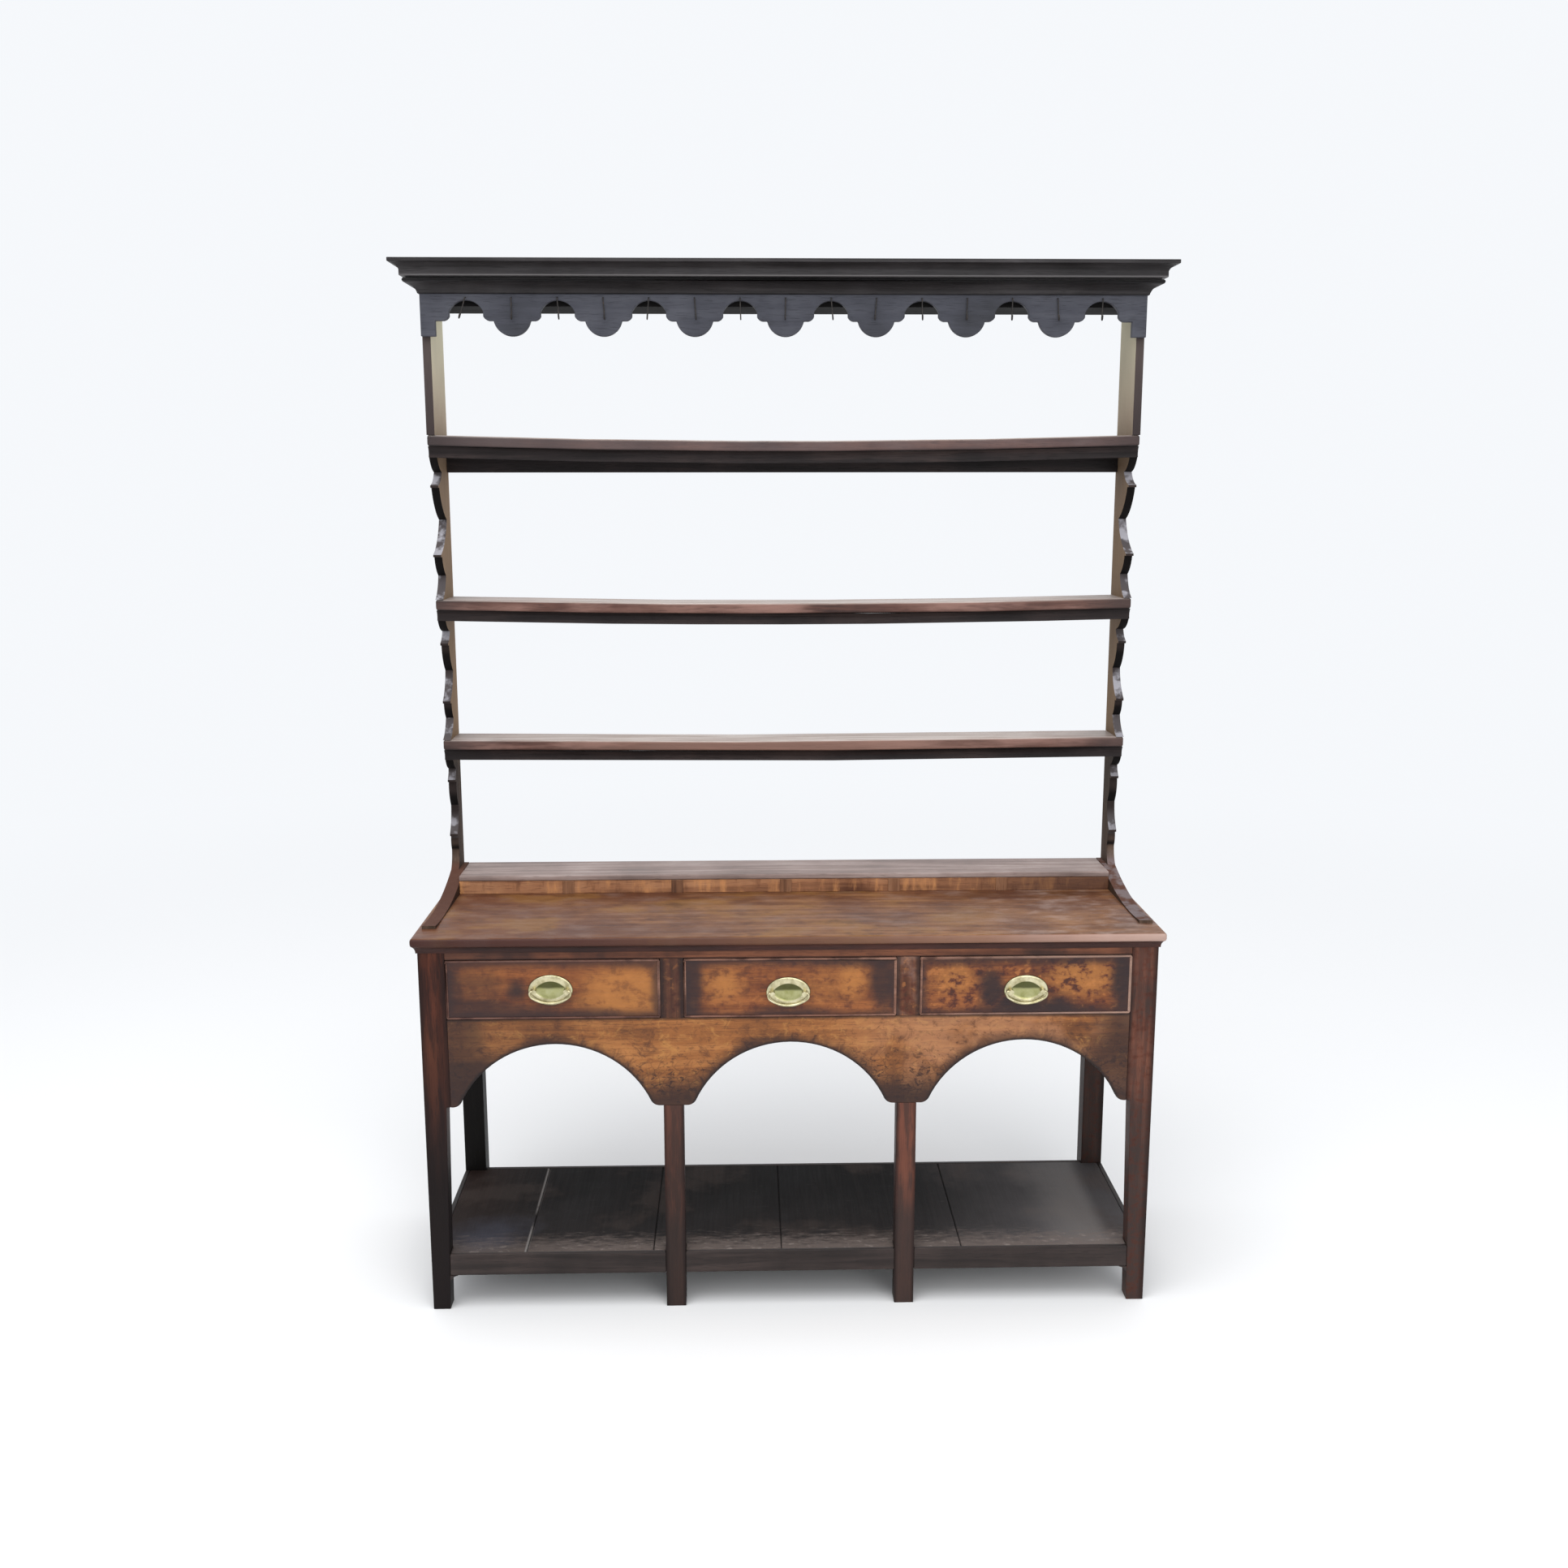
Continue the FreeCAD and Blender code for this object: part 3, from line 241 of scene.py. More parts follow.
def oak(name, patina=None, **changes):
    look = {**oakBase, **changes}
    finish = Finish(name)
    x, y, z = finish.split(finish.place())
    along, across, through = {"x": (x, y, z), "y": (y, x, z), "z": (z, x, y)}[look["grain"]]
    start = along + look["seed"]
    wander = finish.pattern(start, across, through, look["wanderShape"]) * look["wander"]
    rings = finish.pattern(start, across + wander, through + wander, look["ringShape"])
    lines = (rings * look["ringLines"]).ripple()
    fibre = finish.pattern(start, across, through, look["fibreShape"])
    pores = finish.fade(finish.pattern(start, across, through, look["poreShape"]), *look["poreSpan"])
    cloud = finish.noise(finish.join(x + look["seed"], y, z), look["cloudScale"],
                         look["cloudDetail"], look["cloudRoughness"])
    tone = (0.5 + (lines - 0.5) * look["ringShare"] + (fibre - 0.5) * look["fibreShare"]
            + (cloud - 0.5) * (look["cloudShare"] * 2))
    colour = finish.ramp(tone, [(0.0, look["dark"]), (0.5, look["mid"]), (1.0, look["light"])])
    colour = finish.tint(colour, pores, (*look["dark"], look["poreShare"]))
    if patina:
        colour = patina(finish, colour, x, y, z, cloud)
    height = fibre * 0.35 + lines * 0.2 - pores * 0.6 + cloud * 2
    finish.shine(
        base_color=colour,
        roughness=look["roughness"] + (fibre - 0.5) * 0.2 + (cloud - 0.5) * 0.3,
        normal=finish.bump(height, look["grainStrength"], look["grainDepth"]),
        coat_weight=look["coat"],
        coat_roughness=0.25,
    )
    finish.surface.inputs["Specular IOR Level"].default_value = look["specular"]
    return finish.material


# patinas: what age has done to one kind of piece, with painted light and shade on some pieces, placed in the
# frame's own metres
# a tone is red, green and blue as on a screen, then its share
# a span is where a thing starts and where it is full, and a tone with its span is one wash

def spanFrom(place, span):  # a span given from one place of the frame
    return [place + step for step in span]


corniceLook = {
    "grooveUp": 0.0305,
    "groove": ((112, 109, 109, 0.8), (0.006, 0.002)),
    "topDust": ((96, 94, 96, 1.0), (0.4, 0.95)),
}


def cornicePatina(finish, base, x, y, z, cloud):
    look = corniceLook
    low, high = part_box("cornice")
    offGroove = abs(z - (low.z + look["grooveUp"]))
    # painted light: the quirk of the cornice, which lies in shade, is made pale
    colour = finish.wash(base, offGroove, look["groove"])
    # painted sheen: faces that look up are made a paler bluish grey
    return finish.wash(colour, finish.facing()[2], look["topDust"], 0.5 + cloud * 0.6)


mottleLook = {
    "tall": 1.3,
    "detail": 5.0,
    "roughness": 0.6,
    "distortion": 0.15,
    "dark": ((84, 39, 24, 1.0), (0.54, 0.38)),
    "deep": ((42, 22, 18, 0.62), (0.42, 0.33)),
    "bright": ((182, 116, 62, 1.0), (0.57, 0.68)),
}


def mottle(finish, colour, x, y, z, scale, share, bright=0.5):
    # the old polish has broken up into dark spots and a few bright ones
    look = mottleLook
    spots = finish.noise(finish.join(x, y, z * look["tall"]), scale,
                         look["detail"], look["roughness"], look["distortion"])
    colour = finish.wash(colour, spots, look["dark"], share)
    colour = finish.wash(colour, spots, look["deep"], share)
    return finish.wash(colour, spots, look["bright"], share * bright)


legLook = {
    "slimSpan": (0.5, 0.35),  # the two slim legs stand nearer the middle
    "leftSpan": (0.1, -0.65),
    "rightSpan": (-0.1, 0.1),
    "soot": ((34, 26, 26, 1.0), (0.72, 0.2)),
    "warmSpan": (0.14, 0.36),
    "warm": (122, 64, 45, 0.5),
    "streakShape": (60, 60, 7, 4.0, 0.65),
    "streak": ((34, 23, 23, 0.65), (0.55, 0.4)),
    "leftShade": ((28, 20, 19, 0.5), (0.35, 0.6)),
    "dull": ((98, 84, 78, 0.22), (-0.6, -0.3)),
    "spotScale": 58.0,
    "spotSpan": (0.5, 0.65),
    "spotShare": 0.4,
    "leftFoot": ((17, 14, 14, 0.7), (0.5, 0.25)),
    "outerSpan": (-0.016, -0.002),
    "innerSpan": (0.012, 0.001),
    "innerStart": (-0.05, 0.0),
    "slimEdgeSpan": (-0.009, -0.001),
    "outline": (24, 17, 17, 0.65),
    "back": ((12, 10, 9, 1.0), (0.1, 0.18)),
}


def legPatina(finish, base, x, y, z, cloud):
    look = legLook
    low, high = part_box("leg_front_right")
    slimLow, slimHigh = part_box("leg_inner_right")
    slim = finish.fade(abs(x), *look["slimSpan"])
    leftward = finish.fade(x, *look["leftSpan"])
    rightward = finish.fade(x, *look["rightSpan"])
    warm = slim * finish.fade(z.stray(cloud, 0.2), *look["warmSpan"]) * (0.65 + rightward * 0.35)
    streak = finish.pattern(x, y, z, look["streakShape"])
    spotted = finish.fade(x, *look["spotSpan"]) * look["spotShare"]
    sooty = 0.8 + leftward * 0.15 - warm * 0.6
    # darker towards the floor, a little more on the left
    colour = finish.wash(base, z.stray(cloud, 0.3), look["soot"], sooty)
    colour = finish.tint(colour, warm, look["warm"])
    colour = finish.wash(colour, streak, look["streak"])
    colour = finish.wash(colour, cloud, look["leftShade"], leftward)
    colour = finish.wash(colour, x, look["dull"])
    colour = mottle(finish, colour, x, y, z, look["spotScale"], spotted, bright=0.0)
    colour = finish.wash(colour, z, look["leftFoot"], leftward)
    # painted shade: dark lines down the edges of the square legs and over their side faces, then of the slim
    # ones
    outer = finish.fade(abs(x), *spanFrom(high.x, look["outerSpan"]))
    inner = (finish.fade(abs(x), *spanFrom(low.x, look["innerSpan"]))
             * finish.fade(abs(x), *spanFrom(low.x, look["innerStart"])))
    aside = abs(abs(x) - (slimLow.x + slimHigh.x) / 2)
    slimEdge = slim * finish.fade(aside, *spanFrom((slimHigh.x - slimLow.x) / 2, look["slimEdgeSpan"]))
    colour = finish.tint(colour, outer.higher(inner).higher(slimEdge), look["outline"])
    # painted shade: the back legs, deep under the case, are made near black
    return finish.wash(colour, y, look["back"], 0.35 + leftward * 0.6)


dividerLook = {
    "spotScale": 62.0,
    "spotShare": 0.75,
    "paleSpan": (0.0, 0.1),
    "paleCloudSpan": (0.45, 0.6),
    "pale": (142, 114, 102, 0.5),
    "left": ((46, 30, 28, 0.5), (0.1, -0.1)),
    "edgeSpan": (-0.016, -0.003),
    "edge": (30, 19, 19, 0.8),
}


def dividerPatina(finish, base, x, y, z, cloud):
    look = dividerLook
    low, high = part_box("drawer_divider_right")
    aside = abs(abs(x) - (low.x + high.x) / 2)
    edge = finish.fade(aside, *spanFrom((high.x - low.x) / 2, look["edgeSpan"]))
    pale = finish.fade(x, *look["paleSpan"]) * finish.fade(cloud, *look["paleCloudSpan"])
    colour = mottle(finish, base, x, y, z, look["spotScale"], look["spotShare"])
    colour = finish.tint(colour, pale, look["pale"])
    colour = finish.wash(colour, x, look["left"])
    return finish.tint(colour, edge, look["edge"])


railLook = {
    "left": ((48, 31, 29, 0.6), (-0.3, -0.75)),
    "patch": ((50, 30, 26, 0.4), (0.48, 0.36)),
    "shadowSpan": (0.004, 0.001),
    "shadow": (30, 18, 17, 0.75),
}


def railPatina(finish, base, x, y, z, cloud):
    look = railLook
    low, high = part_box("top_rail")
    colour = finish.wash(base, x.stray(cloud, 0.5), look["left"])
    colour = finish.wash(colour, cloud, look["patch"])
    return finish.tint(colour, finish.fade(z, *spanFrom(low.z, look["shadowSpan"])), look["shadow"])


apronLook = {
    # the three arches
    "crownUp": 0.585,
    "radius": 0.2141,
    "pitch": 0.481333,
    # the burr of the wood and its colours
    "burrShape": (26, 26, 26, 5.0, 0.7, 1.2),
    "burr": ((82, 47, 28, 0.75), (0.47, 0.3)),
    "gold": ((170, 118, 62, 0.7), (0.52, 0.7)),
    "roseSpan": (0.05, 0.3),
    "roseCloudSpan": (0.42, 0.55),
    "rose": (168, 122, 92, 0.4),
    "lowerStart": -0.03,  # from the apron's top
    "lowerEnd": 0.06,  # from its foot
    "speckShape": (75, 75, 120, 4.0, 0.65, 0.5),
    "speck": ((56, 32, 23, 1.0), (0.46, 0.36)),
    "crazeScale": 58.0,
    "crazeWidth": 0.075,
    "crazeSpan": (0.4, 0.55),
    "craze": (48, 28, 20, 0.55),
    # dark along the arches, at the pendants' feet, at the ends and to the left
    "rimSpan": (0.034, 0.0),
    "rimShare": 0.85,
    "footSpan": (0.095, 0.02),
    "footShare": 0.92,
    "endSpan": (-0.12, -0.02),
    "endShare": 0.8,
    "leftSpan": (-0.2, -0.7),
    "leftShare": 0.45,
    "cornerSpan": (-0.44, -0.62),
    "cornerDrop": (-0.03, -0.1),
    "cornerShare": 0.95,
    "shade": (40, 25, 24, 1.0),
    "lineSpan": (0.008, 0.001),
    "topLineSpan": (-0.007, -0.001),
    "topLineShare": 0.8,
    "line": (22, 14, 14, 0.85),
}


def apronPatina(finish, base, x, y, z, cloud):
    look = apronLook
    low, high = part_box("apron")
    nearest = None
    for step in (-1, 0, 1):
        sideways = x - look["pitch"] * step
        upwards = z - (look["crownUp"] - look["radius"])
        gap = (sideways * sideways + upwards * upwards).root() - look["radius"]
        nearest = gap if nearest is None else nearest.lower(gap)
    burr = finish.pattern(x, y, z, look["burrShape"])
    specks = finish.pattern(x, y, z, look["speckShape"])
    lower = finish.fade(z.stray(cloud, 0.2), high.z + look["lowerStart"], low.z + look["lowerEnd"])
    rosy = finish.fade(x, *look["roseSpan"]) * finish.fade(cloud, *look["roseCloudSpan"])
    crazed = (finish.cracks(x, y, z, look["crazeScale"], look["crazeWidth"])
              * finish.fade(burr, *look["crazeSpan"]) * lower)
    colour = finish.wash(base, burr, look["gold"])
    colour = finish.tint(colour, rosy, look["rose"])
    colour = finish.wash(colour, burr, look["burr"])
    colour = finish.wash(colour, specks, look["speck"], 0.3 + lower * 0.55)
    colour = finish.tint(colour, crazed, look["craze"])
    rim = finish.fade(nearest.stray(cloud, 0.05).stray(burr, 0.03), *look["rimSpan"])
    foot = finish.fade(z.stray(cloud, 0.1).stray(burr, 0.04), *spanFrom(low.z, look["footSpan"]))
    ends = finish.fade(abs(x).stray(cloud, 0.14) + lower * 0.05, *spanFrom(high.x, look["endSpan"]))
    leftward = finish.fade(x.stray(cloud, 0.5), *look["leftSpan"])
    corner = (finish.fade(x.stray(cloud, 0.15), *look["cornerSpan"])
              * finish.fade(z, *spanFrom(high.z, look["cornerDrop"])))
    shade = (rim * look["rimShare"]).higher(foot * look["footShare"]).higher(ends * look["endShare"])
    shade = shade.higher(leftward * look["leftShare"]).higher(corner * look["cornerShare"])
    colour = finish.tint(colour, shade, look["shade"])
    topLine = finish.fade(z, *spanFrom(high.z, look["topLineSpan"])) * look["topLineShare"]
    return finish.tint(colour, finish.fade(nearest, *look["lineSpan"]).higher(topLine), look["line"])


drawerLook = {
    "patchSpan": (1.35, 0.35),  # in half widths of a patch
    "glow": (170, 110, 54, 0.75),
    "smoke": (34, 23, 26, 0.92),
    "spotScale": 52.0,
    "rim": ((42, 27, 28, 0.75), (0.024, 0.003)),
    "insideSpan": (0.3, 0.8),
    "insideShare": 0.9,
    "inside": (172, 136, 94, 0.7),
}
drawerPatches = {
    # across, up, half width, half height in metres from the middle of the drawer, with its share
    "left": {
        "seed": 20.3,
        "spots": 0.34,
        "glow": ((0.14, 0.0, 0.09, 0.06, 1.0), (-0.14, 0.025, 0.06, 0.035, 0.3)),
        "smoke": ((-0.072, 0.0, 0.034, 0.03, 1.0), (-0.1, -0.045, 0.13, 0.028, 0.8),
                  (-0.205, 0.0, 0.025, 0.09, 0.75), (-0.15, 0.0, 0.07, 0.06, 0.45),
                  (0.06, -0.05, 0.07, 0.015, 0.5)),
    },
    "middle": {
        "seed": 23.9,
        "spots": 0.5,
        "glow": ((-0.13, 0.007, 0.05, 0.05, 1.0), (0.125, 0.005, 0.04, 0.05, 1.0),
                 (0.07, 0.0, 0.05, 0.05, 0.45)),
        "smoke": ((0.188, 0.0, 0.034, 0.09, 0.9), (-0.2, 0.0, 0.023, 0.09, 0.9),
                  (0.0, -0.05, 0.12, 0.016, 0.5)),
    },
    "right": {
        "seed": 28.1,
        "spots": 0.95,
        "glow": ((-0.145, 0.008, 0.05, 0.045, 0.8), (0.115, 0.02, 0.07, 0.035, 0.9)),
        "smoke": ((-0.07, 0.0, 0.034, 0.06, 1.0), (-0.01, -0.042, 0.1, 0.026, 1.0),
                  (0.2, 0.0, 0.024, 0.09, 1.0)),
    },
}


def drawerPatina(word):
    look = drawerLook
    patches = drawerPatches[word]
    low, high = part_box(f"drawer_{word}_front")
    middle = (low + high) / 2

    def blobs(finish, x, z, cloud, kind):
        total = None
        for across, up, halfWidth, halfHeight, share in patches[kind]:
            sideways = (x - (middle.x + across)) / halfWidth
            upwards = (z - (middle.z + up)) / halfHeight
            reach = (sideways * sideways + upwards * upwards).root().stray(cloud, 2.4)
            spot = finish.fade(reach, *look["patchSpan"]) * share
            total = spot if total is None else total.higher(spot)
        return total

    def patina(finish, base, x, y, z, cloud):
        colour = finish.tint(base, blobs(finish, x, z, cloud, "glow"), look["glow"])
        colour = mottle(finish, colour, x, y, z, look["spotScale"], patches["spots"])
        colour = finish.tint(colour, blobs(finish, x, z, cloud, "smoke"), look["smoke"])
        inset = (x - low.x).lower(high.x - x).lower(z - low.z).lower(high.z - z)
        colour = finish.wash(colour, inset.stray(cloud, 0.02), look["rim"])
        inside = finish.fade(finish.facing()[1], *look["insideSpan"]) * look["insideShare"]
        return finish.blend(inside, colour, finish.tint(base, 1, look["inside"]))
    return patina


beadLook = {
    "left": ((74, 48, 44, 0.7), (0.1, -0.6)),
    "wornShape": (13, 13, 13, 4.0, 0.6),
    "worn": ((62, 40, 36, 0.75), (0.52, 0.38)),
    "pale": ((164, 136, 122, 0.55), (0.2, 0.6)),
}


def beadPatina(finish, base, x, y, z, cloud):
    look = beadLook
    worn = finish.pattern(x, y, z, look["wornShape"])
    colour = finish.wash(base, x.stray(worn, 0.6), look["left"])
    colour = finish.wash(colour, worn, look["worn"])
    return finish.wash(colour, x.stray(worn, 0.5), look["pale"])


shelfLook = {
    "handledShape": (5, 30, 30, 4.0, 0.6),
    "handled": ((142, 108, 98, 1.0), (0.45, 0.68)),
    "lowestSpan": (1.3, 1.2),
    "lowestMiddleSpan": (0.6, 0.2),
    "lowest": (136, 104, 92, 0.6),
    "topmostSpan": (1.5, 1.75),
    "topmost": (74, 66, 68, 1.0),
    "topmostLeftSpan": (0.1, -0.5),
    "topmostLeft": (66, 58, 58, 0.6),
    "end": ((38, 31, 31, 0.75), (0.58, 0.75)),
    # dry, streaky wood on top
    "topSpan": (0.35, 0.95),
    "bareSpan": (0.75, 0.45),
    "dryShape": (4, 90, 1, 5.0, 0.65),
    "drySpan": (0.35, 0.62),
    "dryDark": (150, 132, 122),
    "dryPale": (190, 179, 172, 1.0),
    "under": ((20, 16, 16, 0.95), (0.3, 0.9)),
}


def shelfPatina(finish, base, x, y, z, cloud):
    look = shelfLook
    up = finish.facing()[2]
    handled = finish.pattern(x, y, z, look["handledShape"])
    topmost = finish.fade(z, *look["topmostSpan"])
    leftward = finish.fade(x.stray(cloud, 0.4), *look["topmostLeftSpan"])
    lowest = (finish.fade(z, *look["lowestSpan"])
              * finish.fade(abs(x).stray(cloud, 0.5), *look["lowestMiddleSpan"]))
    colour = finish.wash(base, handled, look["handled"], 0.65 - topmost * 0.4)
    colour = finish.tint(colour, lowest, look["lowest"])
    colour = finish.tint(colour, topmost * (0.5 + (handled - 0.5) * 1.2), look["topmost"])
    colour = finish.tint(colour, topmost * leftward, look["topmostLeft"])
    colour = finish.wash(colour, abs(x).stray(cloud, 0.3), look["end"])
    bare = finish.fade(abs(x).stray(cloud, 0.5), *look["bareSpan"])
    streaks = finish.fade(finish.pattern(x, y, z, look["dryShape"]), *look["drySpan"])
    dry = finish.tint(ink(*look["dryDark"]), streaks, look["dryPale"])
    colour = finish.blend(finish.fade(up, *look["topSpan"]) * (0.3 + bare * 0.45 + cloud * 0.4), colour, dry)
    # painted shade on the faces that look down
    return finish.wash(colour, -up, look["under"])


upstandLook = {
    "flameShape": (34, 1, 9, 4.0, 0.65),
    "flame": ((196, 138, 88, 0.75), (0.48, 0.7)),
    "flameDark": ((84, 50, 36, 0.6), (0.44, 0.28)),
    "right": ((58, 38, 34, 0.6), (0.3, 0.62)),
}


def upstandPatina(finish, base, x, y, z, cloud):
    look = upstandLook
    flame = finish.pattern(x, y, z, look["flameShape"])
    colour = finish.wash(base, flame, look["flame"])
    colour = finish.wash(colour, flame, look["flameDark"])
    return finish.wash(colour, x.stray(cloud, 0.2), look["right"])


potboardLook = {
    "brown": ((50, 38, 34, 0.5), (-0.52, -0.72)),
    "nearerSpan": (0.3, 0.0),
    "nearer": (46, 42, 42, 0.5),
    "greySpan": (0.2, 0.62),
    "grey": (80, 77, 78, 1.0),
    "bluePlace": (-0.64, -0.15),
    "blue": ((66, 68, 80, 0.55), (0.12, 0.0)),
    "cloud": ((68, 59, 55, 0.4), (0.5, 0.66)),
    "sheenSpan": (0.5, 0.66),
    "sheenEndSpan": (0.7, 0.66),
    "sheen": (128, 124, 122, 0.4),
    # feet and brooms have worn the front edge, less so at the left
    "wornSpan": (0.085, 0.0),
    "wornLeftSpan": (-0.4, -0.6),
    "worn": (106, 95, 90, 0.75),
    "fleckShape": (42, 70, 1, 5.0, 0.7),
    "fleck": ((138, 128, 122, 0.55), (0.54, 0.68)),
    "scuffShape": (24, 96, 8, 5.0, 0.7),
    "scuff": ((78, 74, 74, 0.3), (0.6, 0.78)),
    "jointAcross": -0.5558,
    "patchySpan": (0.35, 0.5),
    "joint": ((128, 124, 122, 0.8), (0.005, 0.001)),
}


def potboardPatina(finish, base, x, y, z, cloud):
    look = potboardLook
    low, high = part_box("potboard_boards")
    nearer = finish.fade(y.stray(cloud, 0.3), *spanFrom(low.y, look["nearerSpan"]))
    rightward = finish.fade(x.stray(cloud, 0.4), *look["greySpan"])
    colour = finish.wash(base, x.stray(cloud, 0.3), look["brown"])
    # painted light and shade: lighter towards the front, darker at the back where the boards lie deep under
    # the case
    colour = finish.tint(colour, nearer, look["nearer"])
    # painted reflection: a grey sheen laid over the right-hand boards
    colour = finish.tint(colour, rightward * (0.6 + nearer * 0.3), look["grey"])
    blueX, blueY = look["bluePlace"]
    away = ((x - blueX) * (x - blueX) + (y - blueY) * (y - blueY)).root().stray(cloud, 0.2)
    colour = finish.wash(colour, away, look["blue"])
    colour = finish.wash(colour, cloud, look["cloud"])
    sheen = finish.fade(x.stray(cloud, 0.2), *look["sheenSpan"]) * finish.fade(x, *look["sheenEndSpan"])
    colour = finish.tint(colour, sheen, look["sheen"])
    scuff = finish.pattern(x, y, z, look["scuffShape"])
    worn = (finish.fade(y.stray(scuff, 0.2), *spanFrom(low.y, look["wornSpan"]))
            * (1 - finish.fade(x, *look["wornLeftSpan"]) * 0.4))
    flecks = finish.pattern(x, y, z, look["fleckShape"])
    colour = finish.tint(colour, worn, look["worn"])
    colour = finish.wash(colour, flecks, look["fleck"], worn)
    colour = finish.wash(colour, scuff, look["scuff"])
    patchy = finish.fade(cloud, *look["patchySpan"])
    offJoint = abs(x - look["jointAcross"])
    return finish.wash(colour, offJoint, look["joint"], patchy)


topLook = {
    "left": ((94, 56, 40, 0.6), (-0.1, -0.65)),
    "rightSpan": (0.25, 0.65),
    "stainShape": (5.5, 8.8, 5.5, 3.0, 0.55),
    "honey": ((138, 98, 48, 0.45), (0.48, 0.6)),
    "stain": ((86, 52, 40, 0.55), (0.5, 0.34)),
    "scuffShape": (15, 25, 5, 4.0, 0.58),
    "scuff": ((158, 136, 126, 1.0), (0.44, 0.76)),
    "scuffDark": ((68, 41, 33, 0.45), (0.46, 0.3)),
    # the front edge pales from left to right: painted shade at the left end, painted light towards the right
    "frontSpan": (0.3, 0.8),
    "frontShare": 0.85,
    "front": ((-0.75, (52, 30, 30)), (-0.45, (64, 38, 35)), (0.1, (98, 68, 55)), (0.4, (128, 96, 82)),
              (0.62, (168, 138, 126)), (0.75, (176, 150, 140))),
}


def topPatina(finish, base, x, y, z, cloud):
    look = topLook
    scuff = finish.pattern(x, y, z, look["scuffShape"])
    stain = finish.pattern(x, y, z, look["stainShape"])
    rightward = finish.fade(x.stray(cloud, 0.4), *look["rightSpan"])
    colour = finish.wash(base, x.stray(cloud, 0.6), look["left"])
    colour = finish.wash(colour, stain, look["honey"], 1 - rightward)
    colour = finish.wash(colour, stain, look["stain"])
    # pale scuffs over the whole top; the extra towards the right end is a painted reflection
    colour = finish.wash(colour, scuff, look["scuff"], 0.2 + rightward * 0.45)
    colour = finish.wash(colour, scuff, look["scuffDark"])
    # painted shade and light along the front edge
    front = finish.fade(-finish.facing()[1], *look["frontSpan"]) * look["frontShare"]
    return finish.blend(front, colour, finish.along(x, look["front"]))


rackLook = {
    "cloud": ((42, 35, 33, 0.5), (0.55, 0.38)),
    # painted light and shade up the inner faces: near black below the lowest shelf, pale to near white at the
    # top; the front edges darker towards the bottom
    "inwardSpan": (0.0, -0.4),
    "innerShare": 0.68,
    "inner": ((0.82, (52, 36, 31)), (1.1, (40, 32, 28)), (1.17, (140, 115, 88)), (1.74, (142, 119, 96)),
              (1.86, (196, 180, 158)), (2.06, (255, 250, 218))),
    "rightSpan": (-0.2, 0.2),
    "rightInner": (70, 56, 42, 0.3),
    "frontSpan": (0.25, 0.6),
    "frontShare": 0.9,
    "front": ((0.82, (36, 31, 31)), (1.7, (42, 36, 36)), (1.9, (64, 57, 57)), (2.06, (78, 70, 68))),
    # painted highlight on the ledges of the scallops, a grey tone with pale specks, and pale specks on the
    # right foot over the feet's own red-brown tone
    "aboveFootSpan": (0.86, 0.95),
    "lowTierSpan": (1.25, 1.1),
    "dustShape": (24, 24, 24, 4.0, 0.6),
    "ledgeSpan": (0.1, 0.5),
    "ledge": (84, 79, 80, 0.75),
    "ledgeDust": ((160, 158, 164, 1.0), (0.46, 0.6)),
    "footSpan": (0.3, 0.7),
    "foot": (88, 58, 48, 1.0),
    "footRightSpan": (0.0, 0.3),
    "footDust": ((128, 120, 122, 0.6), (0.4, 0.55)),
    "under": ((14, 12, 12, 0.95), (0.08, 0.4)),
}


def rackPatina(finish, base, x, y, z, cloud):
    look = rackLook
    boardLow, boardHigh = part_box("dust_board")
    across, forward, up = finish.facing()
    inward = finish.fade(across * x, *look["inwardSpan"]) * finish.fade(z, boardHigh.z, boardLow.z)
    inner = finish.along(z.stray(cloud, 0.1), look["inner"])
    aboveFoot = finish.fade(z, *look["aboveFootSpan"])
    front = finish.fade(-forward, *look["frontSpan"]) * aboveFoot * look["frontShare"]
    colour = finish.wash(base, cloud, look["cloud"])
    # painted light and shade on the inner faces
    colour = finish.blend(inward * look["innerShare"], colour, inner)
    colour = finish.tint(colour, inward * finish.fade(x, *look["rightSpan"]), look["rightInner"])
    colour = finish.blend(front, colour, finish.along(z, look["front"]))
    dusty = finish.pattern(x, y, z, look["dustShape"])
    lowTier = finish.fade(z, *look["lowTierSpan"])
    ledge = finish.fade(up, *look["ledgeSpan"]) * aboveFoot
    foot = finish.fade(up, *look["footSpan"]) * (1 - aboveFoot)
    rightFoot = foot * finish.fade(x, *look["footRightSpan"])
    # painted highlight on the faces that look up
    colour = finish.tint(colour, ledge, look["ledge"])
    colour = finish.wash(colour, dusty, look["ledgeDust"], ledge * (0.85 - lowTier * 0.25))
    colour = finish.tint(colour, foot * (0.6 + cloud * 0.4), look["foot"])
    colour = finish.wash(colour, dusty, look["footDust"], rightFoot)
    # painted shade on the faces that look down
    return finish.wash(colour, -up, look["under"])


